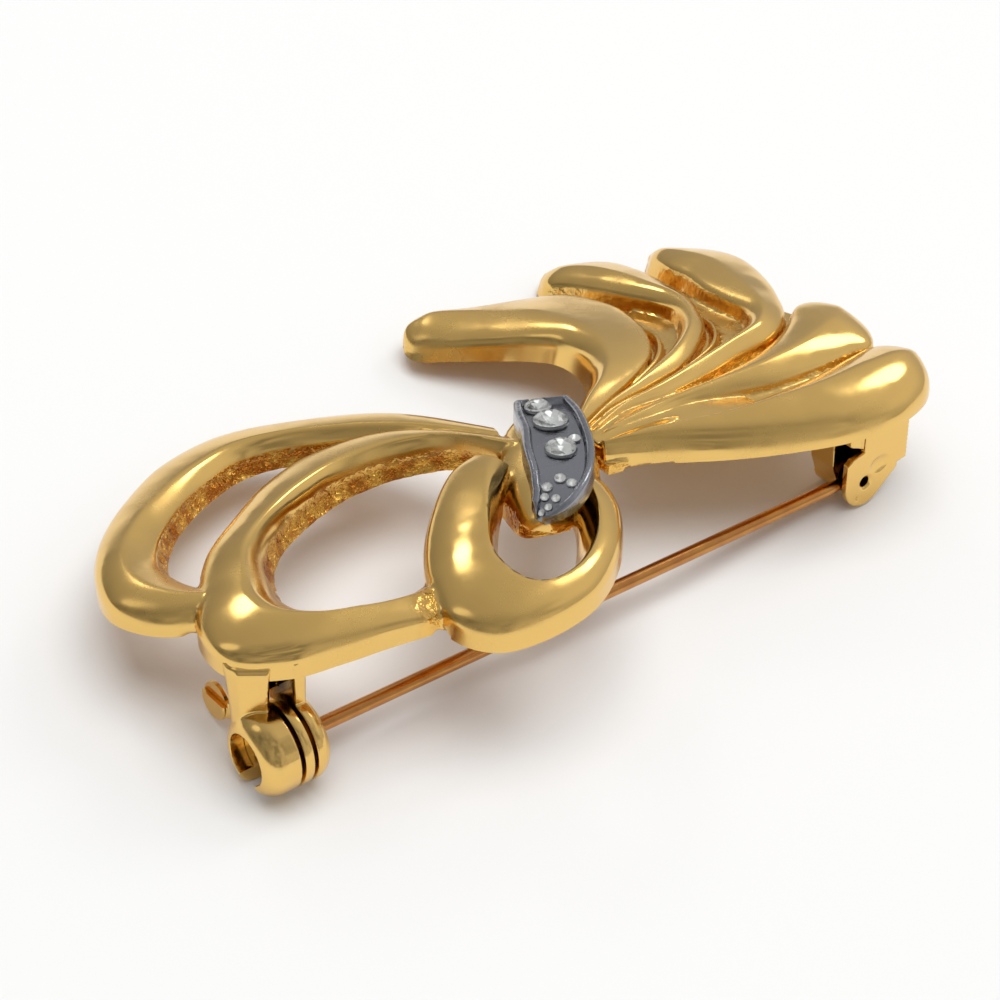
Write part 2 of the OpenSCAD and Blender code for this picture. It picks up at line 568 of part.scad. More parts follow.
module hinge_rivet() {
  color("darkgoldenrod") at_rest() translate([hinge_reach, far_ear_y + far_ear_t, -rivet_depth])
    rotate([90, 0, 0]) cylinder(h = far_ear_y + far_ear_t - near_ear_y, d = rivet_d, $fn = ROUND);
}

// Catch
module barrel_rings() {
  bulge = barrel_r / 2;
  along_barrel(bulb_left) rotate_extrude($fn = ROUND) polygon(concat(
    [[0, 0]],
    [for (a = [0 : 15 : 90]) [barrel_r - bulge * (1 - sin(a)), bulge * (1 - cos(a))]],
    [[barrel_r, bulb_l], [0, bulb_l]]
  ));
  along_barrel(window_right) rotate_extrude($fn = ROUND) polygon([
    [0, 0], [barrel_r, 0], [barrel_r, ring_l / 3],
    [barrel_r - ring_l / 3, ring_l], [0, ring_l]
  ]);
}

module posts() {
  corner = post_t / 2;
  left = bulb_left + LAP;
  translate([0, 0, -barrel_depth]) linear_extrude(barrel_depth + LAP) {
    polygon([
      [left, post_y + post_t], [left, post_y + corner], [left + corner, post_y],
      [window_left, post_y], [window_left, post_y + post_t]
    ]);
    translate([window_right, post_y]) square([thin_post, post_t]);
  }
}

module catch_housing() {
  difference() {
    union() {
      posts();
      barrel_rings();
    }
    along_barrel(bulb_left - LAP)
      cylinder(h = ring_right - bulb_left + 2 * LAP, r = barrel_bore_r, $fn = ROUND);
    translate([bulb_left - LAP, pin_y - gap_w / 2, -barrel_depth - barrel_d])
      cube([ring_right - bulb_left + 2 * LAP, gap_w, barrel_d]);
  }
}

// The ribbons with the setting's seat. resize joins them into one mesh, and 0 keeps a size.
module bow() {
  resize([0, 0, 0]) difference() {
    for (rows = RIBBONS) tube(ribbon_sections(rows));
    setting_block(seat_gap);
  }
}

module bow_casting() {
  color("goldenrod") at_rest() {
    bow();
    hinge_ears();
    catch_housing();
  }
}

module catch_roller() {
  flange_t = window_w - 2 * flange_gap;
  neck_w = tab_d / 2;
  neck_start = barrel_r - LAP;
  neck_bend = barrel_r + LAP;
  neck_end = tab_reach - tab_d / 3;
  color("gold") at_rest() {
    difference() {
      union() {
        along_barrel(bulb_left + LAP)
          cylinder(h = ring_right - bulb_left - 2 * LAP, r = sleeve_r, $fn = ROUND);
        along_barrel(catch_x - flange_t / 2) cylinder(h = flange_t, r = barrel_r, $fn = ROUND);
        translate([catch_x, pin_y, -barrel_depth - neck_w / 2]) linear_extrude(neck_w) polygon([
          [tab_t / 2, neck_start], [tab_t / 2, neck_bend], [tab_t / 2 - tab_shift, neck_end],
          [tab_t / 2 - tab_shift, tab_reach], [-tab_t / 2 - tab_shift, tab_reach],
          [-tab_t / 2 - tab_shift, neck_end], [-tab_t / 2, neck_bend], [-tab_t / 2, neck_start]
        ]);
        translate([catch_x - tab_shift - tab_t / 2, pin_y + tab_reach, -barrel_depth])
          rotate([0, 90, 0]) cylinder(h = tab_t, d = tab_d, $fn = ROUND);
      }
      along_barrel(bulb_left) cylinder(h = ring_right - bulb_left, r = pin_bore_r, $fn = ROUND);
      translate([bulb_left, pin_y - pin_bore_r, -barrel_depth - barrel_d])
        cube([ring_right - bulb_left, 2 * pin_bore_r, barrel_d]);
      translate([catch_x - tab_shift - tab_t / 2 - LAP, pin_y + tab_reach - tab_d, 0])
        translate([0, 0, tab_d / 6 - barrel_depth]) cube([tab_t / 2 + LAP, 2 * tab_d, tab_d]);
    }
  }
}

// Pin, straight from the rivet to the middle of the barrel: an eye, a tapered neck between
// the ears, the wire, and a point from the barrel's mouth on
module pin_stem() {
  rise = rivet_depth - barrel_depth;
  lean = atan2(rise, hinge_reach + catch_reach);
  neck_l = ear_r + LAP;
  point_start = (hinge_reach - ring_right - LAP) / cos(lean);
  point_end = (hinge_reach - bulb_left - 2 * LAP) / cos(lean);
  eye_t = ear_slot - 2 * eye_gap;
  color("peru") at_rest() translate([hinge_reach, pin_y, -rivet_depth]) difference() {
    union() {
      rotate([90, 0, 0]) cylinder(h = eye_t, r = eye_r, center = true, $fn = ROUND);
      rotate([0, lean - 90, 0]) {
        cylinder(h = neck_l + LAP, d1 = NECK_SHARE * eye_t, d2 = eye_t, $fn = ROUND / 2);
        translate([0, 0, neck_l]) cylinder(h = point_start - neck_l, d = wire_d, $fn = ROUND / 2);
        translate([0, 0, point_start])
          cylinder(h = point_end - point_start, d1 = wire_d, d2 = wire_d / 4, $fn = ROUND / 2);
      }
    }
    rotate([90, 0, 0]) cylinder(h = 2 * eye_t, r = rivet_d / 2 + run_gap, center = true, $fn = ROUND);
  }
}

bow_casting();
knot_setting();
for (i = [1 : len(stone_rows)]) stone(i);
hinge_rivet();
pin_stem();
catch_roller();
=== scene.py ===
"""Bow brooch lying on its fittings: cast gold-plated ribbons, a stone-set knot, a hinged pin and a rolling
safety catch."""

import json
import math

import bmesh
import bpy
import numpy as np
from mathutils import Matrix, Vector, noise


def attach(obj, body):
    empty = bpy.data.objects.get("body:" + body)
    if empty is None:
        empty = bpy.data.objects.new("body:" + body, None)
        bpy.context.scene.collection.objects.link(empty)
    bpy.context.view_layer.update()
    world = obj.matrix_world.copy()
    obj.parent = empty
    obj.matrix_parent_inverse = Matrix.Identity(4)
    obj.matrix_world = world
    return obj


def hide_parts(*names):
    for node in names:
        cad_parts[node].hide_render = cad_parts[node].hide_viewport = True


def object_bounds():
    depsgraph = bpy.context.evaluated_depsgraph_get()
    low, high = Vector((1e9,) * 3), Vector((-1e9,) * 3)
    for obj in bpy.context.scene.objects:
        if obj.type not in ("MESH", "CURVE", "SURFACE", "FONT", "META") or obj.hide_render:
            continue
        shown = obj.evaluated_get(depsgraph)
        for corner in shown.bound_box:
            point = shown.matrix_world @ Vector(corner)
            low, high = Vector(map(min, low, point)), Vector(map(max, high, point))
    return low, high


bl_info = {
    "name": "Bow brooch",
    "version": (1, 0, 0),
    "blender": (4, 5, 0),
    "location": "3D View > Sidebar > Brooch",
    "description": "Cast bow brooch with a stone-set knot, a hinged pin and a safety catch",
    "category": "Add Mesh",
}

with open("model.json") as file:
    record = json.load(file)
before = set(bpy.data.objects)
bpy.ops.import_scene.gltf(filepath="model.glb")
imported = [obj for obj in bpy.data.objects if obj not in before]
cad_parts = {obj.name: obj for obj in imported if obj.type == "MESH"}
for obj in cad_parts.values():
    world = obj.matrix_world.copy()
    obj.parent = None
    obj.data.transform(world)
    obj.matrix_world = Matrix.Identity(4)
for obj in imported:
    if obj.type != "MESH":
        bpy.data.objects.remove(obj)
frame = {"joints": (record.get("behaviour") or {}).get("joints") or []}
CAD_BOX = [list(corner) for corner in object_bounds()]
JOINTS = {joint["name"]: joint for joint in frame["joints"]}
MM = 0.001

# The brooch is drawn about the middle of its knot with its back level, then tipped as it lies on the floor.
# The hinge's place in the frame gives the tilt and the shift.
RIVET_PLACE = Vector((23.9, -4.5, -5.9)) * MM
BARREL_PLACE = Vector((-23.8, -4.5, -5.0)) * MM
HINGE_AXIS = Vector(JOINTS["pin_hinge"]["axis"])
HINGE_TILT = math.atan2(HINGE_AXIS.z, -HINGE_AXIS.y)
TIP = Matrix.Rotation(-HINGE_TILT, 4, "X")
AT_REST = Matrix.Translation(Vector(JOINTS["pin_hinge"]["pos_m"]) - TIP @ RIVET_PLACE) @ TIP

# Gap round what turns in a bore, round the pin in the roller, on each side of the pin's eye, under each stone
RUN_GAP, PIN_GAP, EYE_GAP, STONE_GAP = 0.06 * MM, 0.15 * MM, 0.08 * MM, 0.06 * MM
# How far the hinge's ears and the catch's posts reach up into the bow
EAR_ROOT, POST_ROOT = 0.3 * MM, 1.0 * MM
# Voxels that the ears and the catch's housing are remeshed at, and the rounds of smoothing after it
EAR_VOXEL, HOUSING_VOXEL, MELT_ROUNDS = 0.065 * MM, 0.07 * MM, 4
# A ribbon's section: steps across its top, and shares of the way up each wall
TOP_STEPS = 24
WALL_STEPS = (0.0, 0.2, 0.4, 0.6, 0.8)
# How much of a ribbon's outer flank is straight and how much full, how full, and the same of its inner flank
OUTER_STRAIGHT, OUTER_FULL, FULLNESS, INNER_STRAIGHT, INNER_FULL = 0.28, 0.72, 2.2, 0.55, 0.45
# Angles that the setting's rims are rounded at
RIM_TURNS = (0.0, 0.4, 0.8, 1.2)

# Rows of a ribbon: outer edge x and y and inner edge x and y as shares of the bow's reach and rise, crest and
# lift of the underside as shares of the crest's thickness, outer and inner wall as shares of the wall's
# height, and the ridge's place as a share of the way from the outer edge to the inner.
RIBBONS = {
    "far_loop": [
        (0.027, 0.355, -0.013, 0.190, 0.85, 0.10, 1.00, 0.70, 0.56),
        (-0.093, 0.665, -0.147, 0.480, 0.85, 0.05, 1.10, 0.60, 0.62),
        (-0.260, 0.860, -0.290, 0.670, 0.86, 0.00, 1.10, 0.58, 0.65),
        (-0.427, 0.960, -0.427, 0.750, 0.88, 0.00, 1.10, 0.58, 0.66),
        (-0.587, 0.925, -0.547, 0.710, 0.90, 0.00, 1.10, 0.58, 0.63),
        (-0.730, 0.800, -0.653, 0.625, 0.92, 0.00, 1.10, 0.58, 0.56),
        (-0.853, 0.645, -0.733, 0.525, 0.95, 0.00, 1.00, 0.58, 0.47),
        (-0.933, 0.480, -0.783, 0.415, 0.95, 0.00, 0.90, 0.58, 0.41),
        (-0.963, 0.310, -0.783, 0.310, 0.93, 0.00, 0.70, 0.58, 0.40),
        (-0.920, 0.165, -0.757, 0.225, 0.88, 0.00, 0.60, 0.55, 0.42),
        (-0.830, 0.080, -0.710, 0.160, 0.80, 0.00, 0.60, 0.50, 0.45),
        (-0.760, 0.050, -0.673, 0.130, 0.70, 0.00, 0.60, 0.50, 0.50),
    ],
    "near_loop": [
        (0.027, 0.250, -0.007, 0.070, 0.95, 0.15, 0.90, 0.80, 0.58),
        (-0.087, 0.465, -0.080, 0.290, 0.95, 0.10, 1.10, 0.70, 0.66),
        (-0.200, 0.590, -0.187, 0.385, 0.98, 0.05, 1.20, 0.60, 0.70),
        (-0.340, 0.620, -0.307, 0.415, 1.00, 0.00, 1.20, 0.60, 0.70),
        (-0.483, 0.560, -0.420, 0.380, 1.02, 0.00, 1.20, 0.60, 0.68),
        (-0.613, 0.445, -0.530, 0.310, 1.05, 0.00, 1.20, 0.60, 0.65),
        (-0.727, 0.330, -0.607, 0.220, 1.08, 0.00, 1.10, 0.60, 0.62),
        (-0.820, 0.160, -0.647, 0.115, 1.10, 0.00, 1.00, 0.60, 0.60),
        (-0.877, 0.010, -0.663, 0.015, 1.12, 0.00, 1.00, 0.60, 0.59),
        (-0.873, -0.145, -0.650, -0.070, 1.12, 0.00, 1.00, 0.60, 0.60),
        (-0.780, -0.250, -0.607, -0.140, 1.08, 0.00, 1.00, 0.60, 0.62),
        (-0.673, -0.285, -0.560, -0.175, 0.98, 0.00, 1.00, 0.60, 0.66),
        (-0.560, -0.310, -0.507, -0.185, 0.86, 0.00, 1.00, 0.60, 0.62),
        (-0.447, -0.340, -0.440, -0.160, 0.72, 0.00, 0.80, 0.60, 0.55),
        (-0.360, -0.355, -0.360, -0.120, 0.68, 0.00, 0.70, 0.60, 0.50),
    ],
    "ring": [
        (-0.117, 0.185, -0.070, 0.060, 0.90, 0.42, 1.30, 1.40, 0.55),
        (-0.177, 0.165, -0.113, 0.005, 1.00, 0.38, 1.25, 1.40, 0.70),
        (-0.253, 0.095, -0.180, -0.090, 1.13, 0.26, 1.10, 1.20, 0.82),
        (-0.353, -0.045, -0.240, -0.200, 1.22, 0.10, 1.00, 1.00, 0.88),
        (-0.423, -0.205, -0.267, -0.280, 1.26, 0.02, 1.00, 1.00, 0.87),
        (-0.453, -0.380, -0.267, -0.355, 1.25, 0.00, 1.00, 1.00, 0.84),
        (-0.403, -0.510, -0.247, -0.410, 1.18, 0.00, 1.10, 0.90, 0.78),
        (-0.290, -0.550, -0.210, -0.430, 1.10, 0.00, 1.10, 0.80, 0.70),
        (-0.153, -0.525, -0.153, -0.395, 1.02, 0.02, 1.00, 0.70, 0.60),
        (-0.037, -0.425, -0.100, -0.325, 0.96, 0.05, 0.90, 0.60, 0.52),
        (0.047, -0.285, -0.050, -0.235, 0.90, 0.10, 0.80, 0.60, 0.50),
        (0.083, -0.160, -0.023, -0.145, 0.85, 0.16, 0.70, 0.60, 0.50),
        (0.087, -0.070, -0.013, -0.060, 0.75, 0.20, 0.70, 0.70, 0.50),
    ],
    "horn": [
        (0.153, 0.180, 0.200, 0.150, 0.90, 0.05, 0.80, 1.00, 0.45),
        (0.220, 0.270, 0.313, 0.230, 0.96, 0.05, 0.90, 1.20, 0.42),
        (0.293, 0.350, 0.413, 0.290, 1.00, 0.03, 0.90, 1.30, 0.38),
        (0.347, 0.440, 0.497, 0.360, 1.04, 0.00, 1.00, 1.40, 0.34),
        (0.377, 0.550, 0.557, 0.470, 1.06, 0.00, 1.00, 1.50, 0.32),
        (0.377, 0.660, 0.593, 0.610, 1.06, 0.00, 1.00, 1.50, 0.34),
        (0.340, 0.755, 0.603, 0.770, 1.05, 0.00, 1.00, 1.50, 0.38),
        (0.297, 0.825, 0.573, 0.950, 1.03, 0.00, 1.00, 1.40, 0.42),
        (0.253, 0.895, 0.500, 1.040, 1.00, 0.00, 0.90, 1.30, 0.46),
        (0.210, 0.960, 0.403, 1.130, 1.02, 0.00, 0.80, 1.05, 0.55),
        (0.173, 1.020, 0.313, 1.200, 1.08, 0.00, 0.65, 0.80, 0.58),
        (0.158, 1.055, 0.263, 1.215, 0.94, 0.04, 0.45, 0.50, 0.56),
        (0.155, 1.090, 0.223, 1.205, 0.74, 0.12, 0.28, 0.32, 0.53),
        (0.160, 1.115, 0.193, 1.175, 0.50, 0.20, 0.14, 0.16, 0.50),
        (0.165, 1.130, 0.180, 1.155, 0.34, 0.24, 0.05, 0.05, 0.50),
    ],
    "inner_rib": [
        (0.387, 0.295, 0.400, 0.265, 0.62, 0.00, 0.80, 0.80, 0.50),
        (0.493, 0.360, 0.513, 0.330, 0.68, 0.00, 0.90, 0.90, 0.50),
        (0.553, 0.440, 0.573, 0.415, 0.70, 0.00, 0.90, 0.90, 0.50),
        (0.577, 0.520, 0.600, 0.510, 0.66, 0.00, 0.90, 0.90, 0.50),
        (0.580, 0.600, 0.600, 0.600, 0.50, 0.00, 0.80, 0.80, 0.50),
    ],
    "outer_rib": [
        (0.527, 0.260, 0.537, 0.235, 0.62, 0.00, 0.80, 0.80, 0.50),
        (0.620, 0.295, 0.637, 0.270, 0.70, 0.00, 0.90, 0.90, 0.50),
        (0.673, 0.350, 0.693, 0.325, 0.70, 0.00, 0.90, 0.90, 0.50),
        (0.707, 0.420, 0.727, 0.405, 0.66, 0.00, 0.90, 0.90, 0.50),
        (0.730, 0.510, 0.750, 0.510, 0.50, 0.00, 0.80, 0.80, 0.50),
    ],
    "petal_2": [
        (0.187, 0.165, 0.193, 0.125, 0.86, 0.05, 1.00, 1.00, 0.50),
        (0.280, 0.225, 0.293, 0.175, 0.88, 0.03, 1.20, 1.20, 0.50),
        (0.377, 0.270, 0.400, 0.205, 0.90, 0.00, 1.30, 1.30, 0.50),
        (0.487, 0.330, 0.520, 0.240, 0.94, 0.00, 1.30, 1.30, 0.50),
        (0.560, 0.380, 0.607, 0.300, 0.97, 0.00, 1.30, 1.30, 0.50),
        (0.627, 0.450, 0.687, 0.390, 1.00, 0.00, 1.40, 1.30, 0.50),
        (0.667, 0.540, 0.730, 0.495, 1.02, 0.00, 1.40, 1.40, 0.52),
        (0.673, 0.640, 0.763, 0.620, 1.02, 0.00, 1.30, 1.40, 0.52),
        (0.653, 0.770, 0.773, 0.770, 1.00, 0.00, 1.10, 1.50, 0.50),
        (0.630, 0.910, 0.777, 0.920, 0.98, 0.00, 1.00, 1.50, 0.50),
        (0.607, 1.035, 0.767, 1.060, 0.93, 0.00, 0.90, 1.40, 0.50),
        (0.590, 1.125, 0.730, 1.170, 0.80, 0.00, 0.70, 1.00, 0.50),
        (0.607, 1.195, 0.680, 1.225, 0.50, 0.00, 0.45, 0.50, 0.50),
    ],
    "petal_3": [
        (0.193, 0.130, 0.197, 0.090, 0.86, 0.05, 1.00, 1.00, 0.50),
        (0.293, 0.185, 0.303, 0.130, 0.90, 0.03, 1.20, 1.20, 0.50),
        (0.420, 0.215, 0.413, 0.130, 0.94, 0.00, 1.30, 1.30, 0.50),
        (0.540, 0.250, 0.547, 0.145, 0.98, 0.00, 1.30, 1.20, 0.50),
        (0.647, 0.275, 0.660, 0.170, 1.02, 0.00, 1.30, 1.10, 0.50),
        (0.740, 0.315, 0.787, 0.195, 1.05, 0.00, 1.40, 1.10, 0.50),
        (0.787, 0.395, 0.873, 0.280, 1.06, 0.00, 1.50, 1.20, 0.50),
        (0.787, 0.495, 0.933, 0.430, 1.06, 0.00, 1.60, 1.40, 0.50),
        (0.790, 0.610, 0.977, 0.585, 1.06, 0.00, 1.60, 1.40, 0.50),
        (0.807, 0.740, 0.997, 0.730, 1.05, 0.00, 1.60, 1.40, 0.50),
        (0.813, 0.860, 0.983, 0.860, 1.00, 0.00, 1.50, 1.30, 0.50),
        (0.830, 0.965, 0.943, 0.975, 0.86, 0.00, 1.10, 1.00, 0.50),
        (0.860, 1.020, 0.900, 1.035, 0.55, 0.00, 0.60, 0.60, 0.50),
    ],
    "petal_4": [
        (0.193, 0.095, 0.193, 0.060, 0.82, 0.05, 1.00, 1.00, 0.50),
        (0.313, 0.130, 0.307, 0.045, 0.86, 0.03, 1.20, 1.10, 0.50),
        (0.420, 0.125, 0.407, 0.045, 0.90, 0.00, 1.30, 1.10, 0.50),
        (0.547, 0.125, 0.530, 0.015, 0.92, 0.00, 1.20, 0.90, 0.50),
        (0.667, 0.145, 0.653, -0.030, 0.96, 0.00, 1.20, 0.80, 0.52),
        (0.773, 0.190, 0.773, -0.045, 0.98, 0.00, 1.20, 0.80, 0.54),
        (0.857, 0.255, 0.880, -0.045, 0.98, 0.00, 1.20, 0.90, 0.54),
        (0.913, 0.315, 0.950, -0.040, 0.95, 0.00, 1.20, 0.90, 0.52),
        (0.960, 0.325, 0.993, 0.035, 0.84, 0.00, 0.90, 0.80, 0.50),
        (0.993, 0.270, 1.010, 0.140, 0.55, 0.00, 0.60, 0.60, 0.50),
    ],
    "short_rib": [
        (0.173, 0.060, 0.173, 0.020, 0.80, 0.05, 1.00, 1.00, 0.50),
        (0.267, 0.050, 0.267, 0.010, 0.84, 0.03, 1.00, 1.00, 0.50),
        (0.347, 0.035, 0.340, -0.010, 0.84, 0.00, 1.00, 1.00, 0.50),
        (0.407, 0.025, 0.400, -0.010, 0.55, 0.00, 0.70, 0.70, 0.50),
    ],
    "petal_5": [
        (0.163, 0.000, 0.173, 0.045, 0.88, 0.05, 0.60, 1.00, 0.55),
        (0.280, -0.080, 0.300, 0.005, 0.96, 0.03, 0.50, 1.10, 0.58),
        (0.413, -0.195, 0.440, -0.045, 1.04, 0.00, 0.40, 1.10, 0.60),
        (0.547, -0.290, 0.587, -0.070, 1.12, 0.00, 0.35, 1.10, 0.60),
        (0.680, -0.360, 0.727, -0.070, 1.18, 0.00, 0.35, 1.10, 0.58),
        (0.807, -0.380, 0.847, -0.050, 1.18, 0.00, 0.35, 1.10, 0.55),
        (0.897, -0.355, 0.930, -0.040, 1.10, 0.00, 0.35, 1.00, 0.50),
        (0.953, -0.310, 0.977, -0.075, 0.90, 0.00, 0.35, 0.80, 0.50),
        (0.983, -0.250, 0.997, -0.135, 0.60, 0.00, 0.30, 0.50, 0.50),
        (0.993, -0.215, 1.000, -0.175, 0.35, 0.00, 0.25, 0.30, 0.50),
    ],
    "fan_floor": [
        (0.160, 0.170, 0.160, -0.020, 0.34, 0.02, 0.60, 0.60, 0.50),
        (0.320, 0.300, 0.340, -0.070, 0.36, 0.00, 0.60, 0.60, 0.50),
        (0.453, 0.430, 0.500, -0.130, 0.36, 0.00, 0.60, 0.60, 0.50),
        (0.553, 0.580, 0.667, -0.170, 0.36, 0.00, 0.60, 0.60, 0.50),
        (0.633, 0.720, 0.807, -0.160, 0.36, 0.00, 0.60, 0.60, 0.50),
        (0.700, 0.780, 0.893, -0.080, 0.36, 0.00, 0.60, 0.60, 0.50),
        (0.767, 0.770, 0.933, 0.070, 0.36, 0.00, 0.60, 0.60, 0.50),
        (0.833, 0.710, 0.940, 0.250, 0.34, 0.00, 0.60, 0.60, 0.50),
    ],
    "fan_hub": [
        (0.167, 0.150, 0.167, 0.020, 0.70, 0.05, 1.20, 1.20, 0.50),
        (0.267, 0.220, 0.280, -0.030, 0.72, 0.03, 1.30, 1.30, 0.50),
        (0.367, 0.260, 0.387, -0.080, 0.68, 0.00, 1.20, 1.20, 0.50),
        (0.453, 0.270, 0.480, -0.110, 0.60, 0.00, 1.00, 1.00, 0.50),
        (0.547, 0.280, 0.580, -0.090, 0.42, 0.00, 0.80, 0.80, 0.50),
    ],
    "strap": [
        (0.067, 0.320, 0.147, 0.310, 0.80, 0.20, 0.80, 0.80, 0.50),
        (0.003, 0.265, 0.180, 0.220, 1.10, 0.05, 1.20, 1.20, 0.50),
        (-0.060, 0.155, 0.163, 0.080, 1.25, 0.00, 1.40, 1.40, 0.55),
        (-0.110, 0.040, 0.117, -0.060, 1.25, 0.00, 1.20, 1.40, 0.58),
        (-0.137, -0.065, 0.047, -0.145, 1.15, 0.12, 0.90, 1.00, 0.55),
        (-0.150, -0.140, -0.017, -0.195, 0.86, 0.26, 0.50, 0.55, 0.52),
        (-0.143, -0.180, -0.057, -0.220, 0.66, 0.34, 0.30, 0.30, 0.50),
        (-0.120, -0.200, -0.087, -0.220, 0.50, 0.38, 0.15, 0.15, 0.50),
    ],
}

# A ribbon's two walls: how far each leans in from its foot in millimetres, how rough each is left, and the
# crest, as a share, below which the whole ribbon is left rough.
WALLS = {
    "far_loop": (0.0, 0.45, 0.0, 1.0, 0.0),
    "near_loop": (0.0, 0.45, 0.0, 1.0, 0.8),
    "ring": (0.0, 0.08, 0.0, 0.4, 0.0),
    "strap": (0.2, 0.2, 1.0, 0.5, 0.0),
    "horn": (0.3, 0.12, 0.0, 0.1, 0.0),
    "petal_2": (0.35, 0.12, 0.15, 0.5, 0.0),
    "petal_3": (0.45, 0.12, 0.2, 0.5, 0.0),
    "petal_4": (0.2, 0.2, 0.2, 0.3, 0.0),
    "petal_5": (0.0, 0.2, 0.0, 0.2, 0.0),
    "short_rib": (0.15, 0.15, 0.1, 0.1, 0.0),
    "inner_rib": (0.05, 0.05, 0.4, 0.4, 0.0),
    "outer_rib": (0.05, 0.05, 0.4, 0.4, 0.0),
    "fan_floor": (0.0, 0.0, 0.5, 0.5, 0.0),
    "fan_hub": (0.1, 0.1, 0.2, 0.2, 0.0),
}

# The two halves of the casting, and the ribbons that each is joined from, in order
HALVES = {
    "bow_loops": ("far_loop", "near_loop", "ring", "strap"),
    "fan_of_tails": ("fan_floor", "fan_hub", "inner_rib", "outer_rib", "horn", "petal_2", "petal_3",
                     "petal_4", "short_rib", "petal_5"),
}

# Rows of the setting: middle x and y as shares of the bow's reach and rise, half width, rim height and
# thickness as shares of the setting's width, height and thickness.
SETTING = np.array([
    (0.122, 0.262, 0.44, 0.78, 1.0), (0.092, 0.175, 0.50, 0.87, 1.0), (0.056, 0.072, 0.51, 0.95, 1.0),
    (0.007, -0.04, 0.53, 1.0, 1.0), (-0.041, -0.14, 0.47, 0.99, 0.95), (-0.089, -0.202, 0.37, 0.92, 0.8),
    (-0.128, -0.228, 0.25, 0.81, 0.5), (-0.149, -0.234, 0.10, 0.7, 0.34),
])

# Stones: place along the setting in rows, place across as a share of its half width, diameter as a share
STONES = [
    (0.55, 0.22, 0.8), (1.62, 0.05, 1.0), (3.05, -0.05, 0.88), (2.6, -0.48, 0.36), (4.36, 0.0, 0.33),
    (4.5, -0.44, 0.3), (4.85, 0.38, 0.31), (5.4, 0.36, 0.25), (5.3, -0.14, 0.25), (5.84, -0.06, 0.22),
    (6.32, 0.16, 0.19),
]

# Windows that the gold mirrors: place in metres, width and height in metres, and power in watts
WINDOWS = {
    "far_window": ((0.056, 0.365, 0.256), (0.08, 0.07), 0.06),
    "right_window": ((0.327, 0.052, 0.305), (0.11, 0.16), 0.15),
    "left_window": ((-0.247, 0.207, 0.315), (0.14, 0.24), 0.05),
}
# Brightness of the room: by height beyond the brooch, and by a broken pattern on the camera's side
FAR_SKY = ((0.0, 0.36), (0.2, 0.4), (0.45, 0.5), (0.65, 0.52), (0.87, 0.48), (1.0, 0.46))
NEAR_SKY = ((0.0, 0.2), (0.43, 0.22), (0.47, 0.33), (0.56, 0.36), (0.6, 0.44), (1.0, 0.46))
SKY_BLUE = 1.03


def mm_prop(name, description, default, low, high):
    """A length that is given here in millimetres"""
    return bpy.props.FloatProperty(name=name, description=description, default=default * MM, min=low * MM,
                                   max=high * MM, unit="LENGTH", precision=5)


def colour_prop(name, description, default):
    return bpy.props.StringProperty(name=name, description=description, default=default)


class BowSizes(bpy.types.PropertyGroup):
    """Sizes of the cast ribbons"""
    reach: mm_prop("Reach", "Length that the ribbons' along shares are taken of", 30, 27, 33)
    rise: mm_prop("Rise", "Length that the ribbons' across shares are taken of", 20, 18, 22)
    dome: mm_prop("Dome", "Fall of the domed back at the far edge", 1.6, 1, 2.2)
    crest: mm_prop("Crest", "Thickness of a ribbon at its crest", 2.5, 2.2, 2.9)
    wall: mm_prop("Wall", "Height of a ribbon's side wall", 1.2, 1, 1.4)
    station: mm_prop("Station", "Distance between sections along a ribbon", 0.32, 0.2, 1)
    rough_depth: mm_prop("Cast roughness", "Depth of the pits in the rough-cast walls", 0.035, 0, 0.2)
    wobble: mm_prop("Polish wobble", "Depth of the waves left in the polished tops", 0.012, 0, 0.05)


class KnotSizes(bpy.types.PropertyGroup):
    """Sizes of the setting and its stones"""
    height: mm_prop("Height", "Height of the rims above the back at the top of the arch", 4.7, 4.3, 5.1)
    width: mm_prop("Width", "Width of the setting at its widest", 4.3, 4, 4.8)
    thickness: mm_prop("Thickness", "Thickness from rim to underside", 1.6, 1.5, 1.9)
    rim: mm_prop("Rim", "Width of the raised rim along each side", 0.5, 0.4, 0.65)
    bed: mm_prop("Bed", "Depth of the bed below the rims", 0.45, 0.3, 0.6)
    stone: mm_prop("Stone", "Diameter of the largest stone", 2.3, 2.1, 2.45)


class HingeSizes(bpy.types.PropertyGroup):
    """Sizes of the hinge and the pin"""
    rivet: mm_prop("Rivet", "Diameter of the rivet", 0.8, 0.7, 0.9)
    near_ear: mm_prop("Near ear", "Thickness of the near ear", 0.45, 0.4, 0.7)
    far_ear: mm_prop("Far ear", "Thickness of the far ear", 2.2, 1.6, 2.5)
    slot: mm_prop("Slot", "Width of the slot between the ears", 1.0, 0.9, 1.2)
    ear_radius: mm_prop("Ear radius", "Radius of the near ear round the rivet", 1.85, 1.6, 2)
    length: mm_prop("Ear length", "Length of the ears along the pin", 5.7, 5, 6)
    step: mm_prop("Step", "Depth of the step at the ears' outer end", 0.85, 0.6, 1.1)
    wire: mm_prop("Wire", "Diameter of the pin's wire", 0.95, 0.8, 1.1)
    eye: mm_prop("Eye", "Radius of the flat eye round the rivet", 1.15, 1, 1.3)


